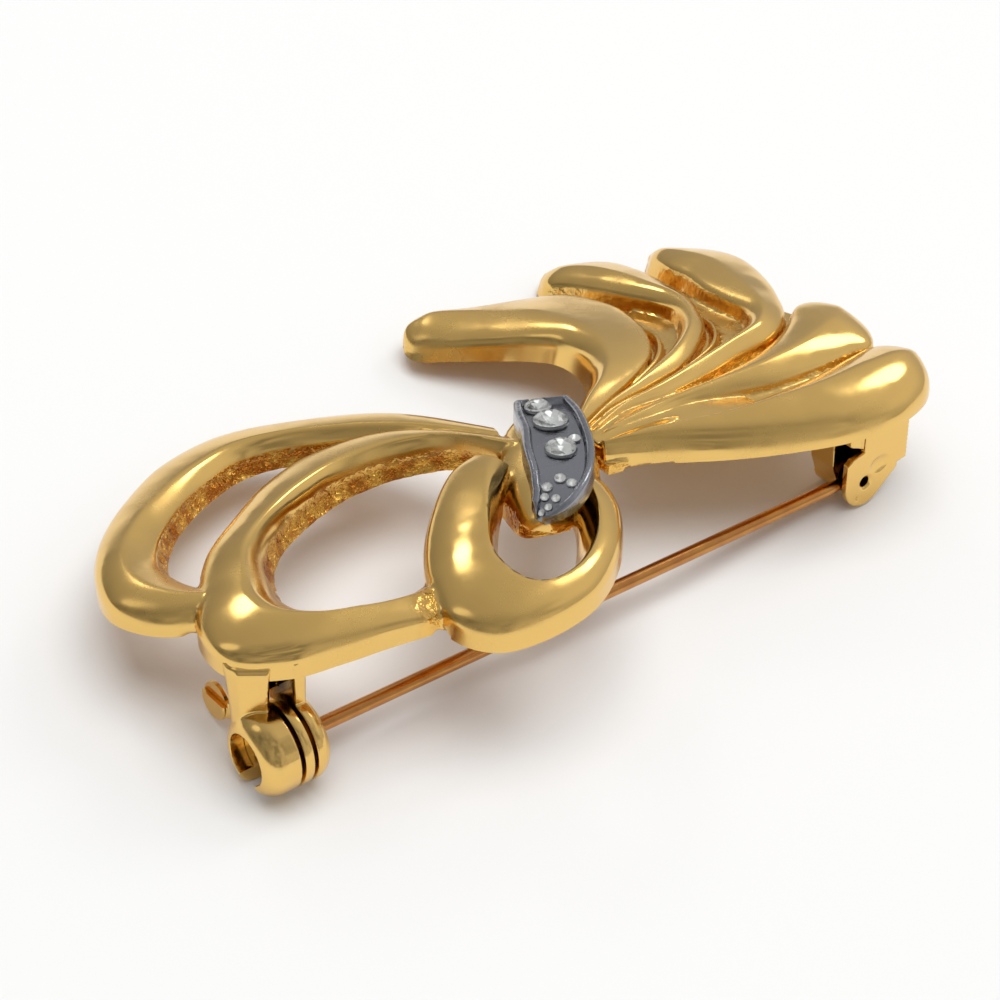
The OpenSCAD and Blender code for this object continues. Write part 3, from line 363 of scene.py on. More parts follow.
class CatchSizes(bpy.types.PropertyGroup):
    """Sizes of the catch and its roller"""
    barrel: mm_prop("Barrel", "Outer diameter of the barrel", 5.6, 5.2, 6)
    bulb: mm_prop("Bulb", "Length of the barrel's round left part", 2.3, 2, 2.6)
    ring: mm_prop("Ring", "Length of the barrel's right ring", 1.2, 1, 1.5)
    wall: mm_prop("Wall", "Wall of the barrel", 1.1, 0.9, 1.3)
    window: mm_prop("Window", "Width of the window that the flange turns in", 1.2, 1.1, 1.4)
    gap: mm_prop("Gap", "Width of the gap that the pin swings through", 1.6, 1.4, 1.8)
    flange: mm_prop("Flange", "Thickness of the roller's flange", 0.66, 0.5, 0.8)
    post: mm_prop("Post", "Thickness of the posts across the brooch", 3, 2.6, 3.4)
    thin_post: mm_prop("Thin post", "Thickness of the thin right post", 0.8, 0.6, 1)
    tab: mm_prop("Tab", "Diameter of the thumb tab", 2.5, 2.2, 2.8)
    tab_reach: mm_prop("Tab reach", "Distance from the barrel's axis to the thumb tab", 5.8, 5.5, 6.1)


class FinishColours(bpy.types.PropertyGroup):
    """Colours of the finishes, as sRGB hex values"""
    gold: colour_prop("Gold plate", "Reflection of the polished gold plate", "#EBC272")
    cast_gold: colour_prop("Cast gold", "Reflection of the rough-cast walls", "#EBB452")
    thin_gold: colour_prop("Thin gold", "Reflection of the rough walls where the plate is thin", "#B4641C")
    # Painted shade: the dark brown that the findings' slots and bores are painted with, where their shadow
    # falls
    painted_slot_shade: colour_prop("Recess", "Reflection inside the fittings' slots and bores", "#2E1408")
    wire_gold: colour_prop("Wire", "Reflection of the worn plate on the wire", "#C98F4E")
    bare_wire: colour_prop("Bare wire", "Reflection of the wire where the plate is worn away", "#B87A45")
    dark_plate: colour_prop("Dark plate", "Reflection of the setting's dark plate", "#94959A")
    glass: colour_prop("Glass", "Tint of the stones' glass", "#FAFCFC")
    # Painted light on the foil: pavilion facets are painted between the foil colour, as lit, and the shaded
    # foil colour below, as turned away from the light
    foil: colour_prop("Foil", "Foil behind the stones", "#F4F4F0")
    shaded_facet_foil: colour_prop("Dull foil", "Foil on the facets that turn away from the light", "#55554E")
    floor: colour_prop("Floor", "Studio floor", "#F4F4F2")


class StageSizes(bpy.types.PropertyGroup):
    """Camera and light"""
    lens: bpy.props.FloatProperty(name="Lens", description="Focal length in millimetres", default=93.6,
                                  min=20, max=300)
    distance: mm_prop("Distance", "Distance from the camera to the point it looks at", 167.74, 100, 500)
    key: bpy.props.FloatProperty(name="Light", description="Share of the lights' power", default=1.0,
                                 min=0, max=20)


def settings():
    return bpy.context.scene.brooch


def tint(name):
    """A finish's colour from sRGB hex to linear red, green, blue and alpha"""
    hex_value = getattr(settings().colours, name)
    parts = [int(hex_value[i:i + 2], 16) / 255 for i in (1, 3, 5)]
    return tuple(p / 12.92 if p <= 0.04045 else ((p + 0.055) / 1.055) ** 2.4 for p in parts) + (1.0,)


def add_node(tree, kind, inputs=None, **values):
    """Adds a node, sets its values, and sets or links its inputs"""
    node = tree.nodes.new(kind)
    for key, value in values.items():
        setattr(node, key, value)
    for key, value in (inputs or {}).items():
        if isinstance(value, bpy.types.NodeSocket):
            tree.links.new(value, node.inputs[key])
        else:
            node.inputs[key].default_value = value
    return node


def finish(build):
    """The material that one of the functions below describes, made the first time that it is asked for"""
    material = bpy.data.materials.get(build.__name__)
    if material is None:
        material = bpy.data.materials.new(build.__name__)
        material.use_nodes = True
        tree = material.node_tree
        tree.nodes.clear()
        add_node(tree, "ShaderNodeOutputMaterial", {"Surface": build(tree).outputs["BSDF"]})
    return material


def object_place(tree):
    return add_node(tree, "ShaderNodeTexCoord").outputs["Object"]


def patches(tree, place, size, detail):
    """Noise whose patches are about this many millimetres across"""
    return add_node(tree, "ShaderNodeTexNoise", {
        "Vector": place, "Scale": 1 / (size * MM), "Detail": detail}).outputs["Fac"]


def spread(tree, value, low, high, to_low=0.0, to_high=1.0):
    """A value stretched from one range to another and held within it"""
    limits = {"From Min": low, "From Max": high, "To Min": to_low, "To Max": to_high}
    return add_node(tree, "ShaderNodeMapRange", {"Value": value, **limits}).outputs["Result"]


def blend(tree, factor, low, high, kind="RGBA"):
    return add_node(tree, "ShaderNodeMix", {"Factor": factor, "A": low, "B": high},
                    data_type=kind).outputs["Result"]


def reckon(tree, operation, *values):
    return add_node(tree, "ShaderNodeMath", dict(enumerate(values)), operation=operation).outputs[0]


def relief(tree, height, strength, distance, **under):
    """A bump of this many millimetres, over another one's Normal if that is given"""
    return add_node(tree, "ShaderNodeBump", {
        "Height": height, "Strength": strength, "Distance": distance * MM, **under}).outputs["Normal"]


def metal(tree, colour, rough, normal):
    return add_node(tree, "ShaderNodeBsdfPrincipled", {
        "Base Color": colour, "Metallic": 1.0, "Roughness": rough, "Normal": normal})


def polished_gold_plate(tree):
    """Polished electroplated gold over a zinc casting: a warm mirror on the tops, here bright and there
    satin, that ripples a little where it was hand-polished, and unpolished, lumpy and deeper orange on the
    inner walls and the back"""
    place = object_place(tree)
    cast = add_node(tree, "ShaderNodeAttribute", attribute_name="cast").outputs["Fac"]
    # Colour: on the rough walls, patches of 1.4 mm where the plate is thin and browner
    thin = spread(tree, patches(tree, place, 1.4, 1.5), 0.46, 0.62, 0.0, 0.8)
    walls = blend(tree, thin, tint("cast_gold"), tint("thin_gold"))
    colour = blend(tree, cast, tint("gold"), walls)
    # Roughness: on the tops, satin patches of 4.5 mm under finer smears; the rough walls are even
    smear = spread(tree, patches(tree, place, 1.1, 4.0), 0.3, 0.7, -0.02, 0.04)
    satin = spread(tree, patches(tree, place, 4.5, 1.0), 0.38, 0.62, 0.11, 0.27)
    rough = blend(tree, cast, reckon(tree, "ADD", smear, satin), 0.13, "FLOAT")
    # Relief: polishing waves 2.5 mm long all over, and casting lumps of 0.6 mm on the rough walls
    waves = relief(tree, patches(tree, place, 2.5, 1.0), 0.5, 0.08)
    lumps = patches(tree, place, 0.6, 3.0)
    grit = relief(tree, lumps, reckon(tree, "MULTIPLY", cast, 0.9), 0.5, Normal=waves)
    return metal(tree, colour, rough, grit)


def bright_gold_findings(tree):
    """Bright gold plate on stamped brass findings: flatter and a little softer than the casting's polish,
    with painted shade, dark brown, in the slots and bores where the surface is closed in"""
    smear = patches(tree, object_place(tree), 0.9, 4.0)
    rough = spread(tree, smear, 0.3, 0.7, 0.12, 0.22)
    # Painted shade: where little is open within 3 mm, the colour is painted dark brown, as the shade in slots
    # and bores
    openness = add_node(tree, "ShaderNodeAmbientOcclusion", {"Distance": 3 * MM}, samples=8, only_local=True)
    colour = blend(tree, spread(tree, openness.outputs["AO"], 0.35, 0.6), tint("painted_slot_shade"), tint("gold"))
    return metal(tree, colour, rough, relief(tree, smear, 0.2, 0.03))


def worn_plated_wire(tree):
    """Drawn wire whose plate has worn to a copper tone, with fine drawing lines along it"""
    place = object_place(tree)
    # Drawing lines 0.05 mm apart across the wire and long along it
    along = add_node(tree, "ShaderNodeMapping", {"Vector": place, "Scale": (0.04, 1.0, 1.0)})
    lines = patches(tree, along.outputs["Vector"], 0.05, 2.0)
    wear = spread(tree, patches(tree, place, 1.5, 3.0), 0.35, 0.7)
    colour = blend(tree, wear, tint("wire_gold"), tint("bare_wire"))
    return metal(tree, colour, 0.22, relief(tree, lines, 0.15, 0.02))


def dark_grey_plate(tree):
    """Dark rhodium-like plate on the setting, polished by hand: a soft grey mirror with fine smudges"""
    smudge = patches(tree, object_place(tree), 0.5, 4.0)
    rough = spread(tree, smudge, 0.3, 0.7, 0.12, 0.3)
    return metal(tree, tint("dark_plate"), rough, relief(tree, smudge, 0.4, 0.08))


def cut_lead_glass(tree):
    """Cut lead glass: clear, with hard-edged facets and a breath of haze"""
    haze = spread(tree, patches(tree, object_place(tree), 0.4, 2.0), 0.0, 1.0, 0.0, 0.06)
    return add_node(tree, "ShaderNodeBsdfPrincipled", {
        "Base Color": tint("glass"), "Roughness": haze, "IOR": 1.56, "Transmission Weight": 1.0})


def silvered_foil(tree):
    """Silvered foil behind the cut glass, which throws the light back through the crown, with painted light:
    each facet is painted lit or shaded by the value that it was given, mottled by the foil's age"""
    # Painted light: how lit each pavilion facet is painted, as given on the mesh
    tone = add_node(tree, "ShaderNodeAttribute", attribute_name="facet").outputs["Fac"]
    age = patches(tree, object_place(tree), 0.3, 3.0)
    lit = spread(tree, reckon(tree, "MULTIPLY_ADD", age, 0.7, tone), 0.35, 1.0)
    return add_node(tree, "ShaderNodeBsdfPrincipled", {
        "Base Color": blend(tree, lit, tint("shaded_facet_foil"), tint("foil")), "Metallic": 0.4, "Roughness": 0.25})


def pale_paper_floor(tree):
    """Matt white paper, which takes the soft shadow and hardly shines"""
    return add_node(tree, "ShaderNodeBsdfPrincipled", {
        "Base Color": tint("floor"), "Roughness": 0.9, "Specular IOR Level": 0.1})


def mesh_object(name, points, faces, materials=(), cast=None):
    """A mesh at rest in the row's frame, from points in the level bow's frame in metres"""
    mesh = bpy.data.meshes.new(name)
    mesh.from_pydata([AT_REST @ Vector(p) for p in points], [], faces)
    if cast is not None:
        mesh.attributes.new("cast", "FLOAT", "POINT").data.foreach_set("value", cast)
    bm = bmesh.new()
    bm.from_mesh(mesh)
    bmesh.ops.recalc_face_normals(bm, faces=bm.faces)
    bm.to_mesh(mesh)
    bm.free()
    for material in materials:
        mesh.materials.append(material)
    obj = bpy.data.objects.new(name, mesh)
    bpy.context.scene.collection.objects.link(obj)
    return obj


def apply_modifiers(obj):
    """Makes the mesh what its modifiers show, and takes them off"""
    result = bpy.data.meshes.new_from_object(obj.evaluated_get(bpy.context.evaluated_depsgraph_get()))
    obj.modifiers.clear()
    obj.data = result


def fuse(base, *others, operation="UNION"):
    """Joins closed meshes to the first one, or cuts them from it"""
    for other in others:
        step = base.modifiers.new("join", "BOOLEAN")
        step.operation = operation
        step.solver = "MANIFOLD"
        step.object = other
        apply_modifiers(base)
        bpy.data.objects.remove(other)
    return base


def melt(obj, voxel):
    """Remeshes a joined body and smooths it, so that its edges and corners run together as in a casting"""
    step = obj.modifiers.new("remesh", "REMESH")
    step.mode = "VOXEL"
    step.voxel_size = voxel
    step = obj.modifiers.new("smooth", "SMOOTH")
    step.factor = 0.5
    step.iterations = MELT_ROUNDS
    apply_modifiers(obj)


def finish_piece(obj, angle, body, slot, *nodes):
    """Shades a piece with its edges sharp from this angle in degrees, or flat where there is none, keeps it
    within the part's box, gives it its body, and hides the model's parts for the nodes that it stands for;
    the slot is not used"""
    mesh = obj.data
    if angle is not None:
        mesh.polygons.foreach_set("use_smooth", [True] * len(mesh.polygons))
        mesh.set_sharp_from_angle(angle=math.radians(angle))
    for vertex in mesh.vertices:
        for axis in range(3):
            vertex.co[axis] = min(max(vertex.co[axis], CAD_BOX[0][axis]), CAD_BOX[1][axis])
    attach(obj, body)
    if nodes:
        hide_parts(*nodes)


def finish_body(obj, name, material, *how):
    """Names a joined body, gives it one material all over and finishes it"""
    obj.name = name
    obj.data.materials.clear()
    obj.data.materials.append(material)
    finish_piece(obj, *how)


def between(rows, u):
    """A table's values at place u, in rows from its first, on a smooth curve"""
    last = len(rows) - 1
    i = min(int(u), last - 1)
    a, b, c, d = rows[max(i - 1, 0)], rows[i], rows[i + 1], rows[min(i + 2, last)]
    t = u - i
    square, cube = 2 * a - 5 * b + 4 * c - d, 3 * b - a - 3 * c + d
    return 0.5 * (2 * b + (c - a) * t + square * t * t + cube * t ** 3)


def ribbon_sections(table, sizes, walls):
    """Sections along a ribbon, closed with a small rounding at both ends: corners in metres, and how rough
    the casting is left at each"""
    rows = np.array(table)
    rows[:, [0, 2]] *= sizes.reach
    rows[:, [1, 3]] *= sizes.rise
    places = []
    for i in range(len(rows) - 1):
        run = max(np.hypot(*(rows[i + 1, k:k + 2] - rows[i, k:k + 2])) for k in (0, 2))
        steps = max(2, math.ceil(run / sizes.station))
        places += [i + k / steps for k in range(steps)]
    places.append(len(rows) - 1)
    sections = [section(between(rows, u), sizes, walls) for u in places]
    rings = [ring for ring, _ in sections]
    cast = [rough for _, rough in sections]
    # The ends' small rounding: its angles, how fast it draws in, and how far it stands out
    turns, draw, out_by = (0.6, 1.05, 1.4), 0.7, 0.15 * MM
    cast = [cast[0]] * len(turns) + cast + [cast[-1]] * len(turns)
    for end, inner in ((0, 1), (-1, -2)):
        middle = rings[end].mean(axis=0)
        out = middle - rings[inner].mean(axis=0)
        out /= np.linalg.norm(out)
        caps = [middle + (rings[end] - middle) * math.cos(a) ** draw + out * out_by * math.sin(a)
                for a in turns]
        rings = caps[::-1] + rings if end == 0 else rings + caps
    return rings, [rough for ring in cast for rough in ring]


def section(row, sizes, walls):
    """One section of a ribbon: two walls that lean in by their feet, a full outer flank up to the ridge line
    and a straighter inner flank, with how rough the casting is left at each corner"""
    highest_wall, widest_foot, ridge_room, rough_fade = 0.9, 0.3, 0.1, 0.1
    outer, inner = np.array(row[0:2]), np.array(row[2:4])
    crest, lift = row[4] * sizes.crest, row[5] * sizes.crest
    wall_out, wall_in = (min(share * sizes.wall, highest_wall * crest) for share in row[6:8])
    width = np.linalg.norm(inner - outer)
    out_foot, in_foot = (min(lean * MM, widest_foot * width) / width for lean in walls[0:2])
    out_rough, in_rough, rough_below = walls[2:5]
    ridge = min(max(row[8], out_foot + ridge_room), 1 - in_foot - ridge_room)
    low = min(1.0, max(0.0, (rough_below - row[4]) / rough_fade))

    def top(s):
        if s <= ridge:
            t = max(0.0, (s - out_foot) / (ridge - out_foot))
            full = (1 - (1 - t) ** FULLNESS) ** (1 / FULLNESS)
            return wall_out + (crest - wall_out) * (OUTER_STRAIGHT * t + OUTER_FULL * full)
        t = min(1.0, (s - ridge) / (1 - in_foot - ridge))
        return crest - (crest - wall_in) * (INNER_STRAIGHT * t + INNER_FULL * (1 - math.sqrt(1 - t * t)))

    # The top's height is a mean over a short way, which rounds the ridge and fades out at the walls
    blur = 0.12 * MM / width
    shape = [(out_foot * f, wall_out * f, out_rough) for f in WALL_STEPS]
    span = 1 - in_foot - out_foot
    for k in range(TOP_STEPS + 1):
        # Steps half even and half closing up towards the walls
        closing = 0.5 - 0.5 * math.cos(math.pi * k / TOP_STEPS)
        s = out_foot + span * closing * 0.5 + span * k / TOP_STEPS * 0.5
        fade = min(1.0, (s - out_foot) / blur, (1 - in_foot - s) / blur)
        h = sum(top(min(max(s + blur * fade * q, out_foot), 1 - in_foot)) for q in (-1, -0.5, 0, 0.5, 1)) / 5
        shape.append((s, h, max(out_rough * (k < 1), in_rough * max(0.0, (k - (TOP_STEPS - 2)) / 2))))
    shape += [(1 - in_foot * f, wall_in * f, in_rough) for f in WALL_STEPS[::-1]]
    shape += [(s, 0.0, 1.0) for s in WALL_STEPS[:0:-1]]
    ring = []
    for s, h, _ in shape:
        x, y = outer + (inner - outer) * s
        ring.append((x, y, lift + h - sizes.dome * (y / sizes.rise) ** 2))
    return np.array(ring), [max(rough, low) for _, _, rough in shape]


def loft(rings):
    """Points and faces of a closed tube through rings of as many points each"""
    n = len(rings[0])
    points = [tuple(p) for ring in rings for p in ring]
    faces = [(r * n + k, r * n + (k + 1) % n, (r + 1) * n + (k + 1) % n, (r + 1) * n + k)
             for r in range(len(rings) - 1) for k in range(n)]
    return points, faces + [tuple(range(n))[::-1], tuple((len(rings) - 1) * n + k for k in range(n))]


def roughen(obj, sizes):
    """Moves a mesh's points along their normals: pits where it is rough, long low waves where polished"""
    mesh = obj.data
    cast = [0.0] * len(mesh.vertices)
    mesh.attributes["cast"].data.foreach_get("value", cast)
    pit, fine_pit, wave_length = 0.5, 0.26, 2.4
    for vertex, rough in zip(mesh.vertices, cast):
        place = vertex.co / MM
        pits = noise.noise(place / pit) + 0.6 * noise.noise(place / fine_pit)
        wave = noise.noise(place / wave_length)
        vertex.co += vertex.normal * (sizes.rough_depth * rough * pits + sizes.wobble * (1 - rough) * wave)


def fill_creases(obj):
    """Smooths the mesh round its inward creases, where the casting runs full"""
    bm = bmesh.new()
    bm.from_mesh(obj.data)
    bmesh.ops.remove_doubles(bm, verts=bm.verts, dist=0.01 * MM)
    sharp, spread_rounds, smooth_rounds = 0.45, 2, 6
    found = {v for e in bm.edges if len(e.link_faces) == 2 and not e.is_convex
             and e.calc_face_angle(0.0) > sharp for v in e.verts}
    for _ in range(spread_rounds):
        found |= {e.other_vert(v) for v in found for e in v.link_edges}
    for _ in range(smooth_rounds):
        bmesh.ops.smooth_vert(bm, verts=list(found), factor=0.5, use_axis_x=True, use_axis_y=True,
                              use_axis_z=True)
    bm.to_mesh(obj.data)
    bm.free()


def turned(name, profile, sides, place, materials=()):
    """A closed body turned about its axis from (radius, height) points, first and last on the axis"""
    points, faces, rings = [], [], []
    for radius, height in profile:
        if radius == 0.0:
            rings.append([len(points)])
            points.append(place @ Vector((0, 0, height)))
        else:
            rings.append([len(points) + k for k in range(sides)])
            points += [place @ Vector((radius * math.cos(a), radius * math.sin(a), height))
                       for a in (2 * math.pi * k / sides for k in range(sides))]
    for low, high in zip(rings, rings[1:]):
        for k in range(sides):
            corners = [low[k % len(low)], low[(k + 1) % len(low)],
                       high[(k + 1) % len(high)], high[k % len(high)]]
            kept = [c for i, c in enumerate(corners) if c not in corners[:i]]
            if len(kept) > 2:
                faces.append(tuple(kept))
    return mesh_object(name, points, faces, materials)


def rod(radius, end, start=0):
    """The profile of a plain cylinder from one height to another"""
    return [(0, start), (radius, start), (radius, end), (0, end)]


def disc(radius, thick, edge, round_off=None, fall=None):
    """The profile of a disc whose edges are cut back, with one more step round them if that is given"""
    inner = [] if round_off is None else [(radius - round_off, fall)]
    outer = [] if round_off is None else [(radius - round_off, thick - fall)]
    return ([(0, 0), (radius - edge, 0)] + inner + [(radius, edge), (radius, thick - edge)] + outer
            + [(radius - edge, thick), (0, thick)])


def slab(name, outline, near, far):
    """A plate along the pin's line, from its outline as places along and up, between two places across"""
    n = len(outline)
    points = [(x, y, z) for y in (near, far) for x, z in outline]
    faces = [tuple(range(n)), tuple(range(n, 2 * n))[::-1]]
    faces += [(k, n + k, n + (k + 1) % n, (k + 1) % n) for k in range(n)]
    return mesh_object(name, points, faces)


def box_outline(left, right, low, high):
    return [(left, low), (right, low), (right, high), (left, high)]


def arc(x, z, radius, start, end, steps):
    """Points on an arc in the plane of a plate, from one angle in degrees to another"""
    turns = [math.radians(start + (end - start) * k / steps) for k in range(steps + 1)]
    return [(x + radius * math.cos(a), z + radius * math.sin(a)) for a in turns]


def across_at(x, y, z):
    """Where a body turned about the rivet's line starts, with its height running towards the far edge"""
    return Matrix.Translation((x, y, z)) @ Matrix.Rotation(-math.pi / 2, 4, "X")


def along_at(x, y, z):
    """Where a body turned about the barrel's line starts, with its height running towards the hinge"""
    return Matrix.Translation((x, y, z)) @ Matrix.Rotation(math.pi / 2, 4, "Y")


class BROOCH_OT_ribbons(bpy.types.Operator):
    """Lofts the ribbons of the bow from their rows and joins them into the two halves of the casting"""
    bl_idname = "brooch.ribbons"
    bl_label = "Cast ribbons"

    def execute(self, context):
        sizes = settings().bow
        for name, parts in HALVES.items():
            made = []
            for part in parts:
                rings, cast = ribbon_sections(RIBBONS[part], sizes, WALLS[part])
                made.append(mesh_object(part, *loft(rings), [finish(polished_gold_plate)], cast))
                roughen(made[-1], sizes)
            half = fuse(*made)
            fill_creases(half)
            half.name = name
            finish_piece(half, 42, "bow", "gold_casting", "bow_casting")
        return {"FINISHED"}


def setting_middle(u):
    return between(SETTING, u)[:2] * np.array([settings().bow.reach, settings().bow.rise])


def setting_way(u):
    step = setting_middle(min(u + 0.1, len(SETTING) - 1)) - setting_middle(max(u - 0.1, 0))
    return step / np.linalg.norm(step)


def setting_rim(u):
    return between(SETTING, u)[3] * settings().knot.height


class BROOCH_OT_setting(bpy.types.Operator):
    """Builds the knot's channel setting with its rounded rims, and sinks the stones' seats in its bed"""
    bl_idname = "brooch.setting"
    bl_label = "Knot setting"

    def execute(self, context):
        knot = settings().knot
        rings = []
        steps = 10
        for k in range((len(SETTING) - 1) * steps + 1):
            u = k / steps
            row = between(SETTING, u)
            half, top = row[2] * knot.width, row[3] * knot.height
            low = top - row[4] * knot.thickness
            rim = min(1.15 * knot.rim, 0.45 * half)
            round_off = 0.5 * rim
            # The bed starts a little in from the far end, and is nowhere quite level with the rims
            bed = knot.bed * min(1.0, max(0.0, (u - 0.1) / 0.2)) + 0.001 * MM
            side = [(half, low), (half, top - max(round_off, 0.8 * knot.bed))]
            side += [(half - round_off * (1 - math.cos(a)), top - round_off * (1 - math.sin(a)))
                     for a in RIM_TURNS + (math.pi / 2,)]
            inner = [(half - rim + round_off * (1 - math.sin(a)), top - round_off * (1 - math.cos(a)))
                     for a in RIM_TURNS]
            inner += [(half - rim, top - max(0.75 * bed, min(round_off, bed))),
                      (half - rim - 0.08 * MM, top - bed)]
            side += [(x, max(z, top - bed)) for x, z in inner]
            ring = side + [(0.0, top - bed)] + [(-x, z) for x, z in side[::-1]] + [(0.0, low)]
            middle, way = setting_middle(u), setting_way(u)
            across = np.array([way[1], -way[0]])
            rings.append([(*(middle + across * x), z) for x, z in ring])
        piece = mesh_object("knot_channel", *loft(rings), [finish(dark_grey_plate)])
        seats = []
        for index, (u, aside, share) in enumerate(STONES):
            radius = share * knot.stone / 2
            foot, shoulder, clear = -0.42 * radius, -0.08 * radius, 0.4 * knot.height
            seats.append(turned(f"seat_{index}", [
                (0, foot), (0.5 * radius, foot), (1.05 * radius, shoulder),
                (1.05 * radius + 0.06 * MM, clear), (0, clear)], 32, stone_place(u, aside)))
        fuse(piece, *seats, operation="DIFFERENCE")
        finish_piece(piece, 35, "bow", "dark_setting", "knot_setting")
        return {"FINISHED"}


def stone_place(u, aside):
    """Where a stone sits on the setting's bed, in the level bow's frame"""
    knot = settings().knot
    way = setting_way(u)
    half = between(SETTING, u)[2] * knot.width
    middle = setting_middle(u) + np.array([way[1], -way[0]]) * half * aside
    run = np.linalg.norm(setting_middle(u + 0.1) - setting_middle(u - 0.1))
    climb = math.atan2(setting_rim(u + 0.1) - setting_rim(u - 0.1), run)
    turn = Matrix.Rotation(math.atan2(way[1], way[0]), 4, "Z") @ Matrix.Rotation(-climb, 4, "Y")
    return Matrix.Translation((*middle, setting_rim(u) - knot.bed)) @ turn


def facet_ring(radius, height, count, turn=0.0):
    return [(radius * math.cos(a), radius * math.sin(a), height)
            for a in (np.arange(count) + turn) * (2 * math.pi / count)]


def cut_stone(name, diameter, place):
    """A round brilliant: table, stars, kites and girdle facets of glass over a foiled pavilion, whose facets
    are each painted with a light of their own, from lit to shaded"""
    r = diameter / 2
    points = facet_ring(0.56 * r, 0.46 * r, 8) + facet_ring(0.8 * r, 0.3 * r, 8, 0.5)
    points += facet_ring(r, 0.1 * r, 16) + facet_ring(r, 0.02 * r, 16)
    points += facet_ring(0.55 * r, -0.2 * r, 8, 0.5) + [(0, 0, -0.4 * r)]
    # Where each ring starts in the list of points, and the point underneath
    star, girdle, belt, pavilion, culet = 8, 16, 32, 48, 56
    faces = [tuple(range(star))]
    for i in range(8):
        kite, edge, following = star + i, girdle + 2 * i, girdle + (2 * i + 2) % 16
        faces += [(i, (i + 1) % 8, kite), (i, star + (i - 1) % 8, edge, kite), (kite, edge, edge + 1),
                  (kite, edge + 1, following)]
    faces += [(girdle + k, belt + k, belt + (k + 1) % 16, girdle + (k + 1) % 16) for k in range(16)]
    glass = len(faces)
    for i in range(8):
        mid, last, edge = pavilion + i, pavilion + (i - 1) % 8, belt + 2 * i
        faces += [(edge, edge + 1, mid), (edge + 1, belt + (2 * i + 2) % 16, mid), (last, edge, mid),
                  (last, mid, culet)]
    stone = mesh_object(name, [place @ Vector(p) for p in points], faces,
                        [finish(cut_lead_glass), finish(silvered_foil)])
    # Painted light: a large stone's foil facets are painted darker and more broken, and a small one's
    # brighter
    mean_facet_light = 0.5 if diameter > 1.2 * MM else 0.75
    facet_lights = []
    for face in stone.data.polygons:
        face.material_index = int(face.index >= glass)
        spot = Vector((face.index * 1.7, sum(name.encode()) * 0.37, 0.5))
        facet_lights.append(mean_facet_light + 0.8 * noise.noise(spot) if face.material_index else 1.0)
    stone.data.attributes.new("facet", "FLOAT", "FACE").data.foreach_set("value", facet_lights)
    return stone


class BROOCH_OT_stones(bpy.types.Operator):
    """Cuts the rhinestones and sets them in the knot"""
    bl_idname = "brooch.stones"
    bl_label = "Rhinestones"

    def execute(self, context):
        for index, (u, aside, share) in enumerate(STONES, 1):
            diameter = share * settings().knot.stone
            place = stone_place(u, aside) @ Matrix.Translation((0, 0, STONE_GAP + 0.05 * diameter))
            stone = cut_stone(f"rhinestone_{index}", diameter, place)
            finish_piece(stone, None, "bow", "stone", f"stone_{index}")
        return {"FINISHED"}


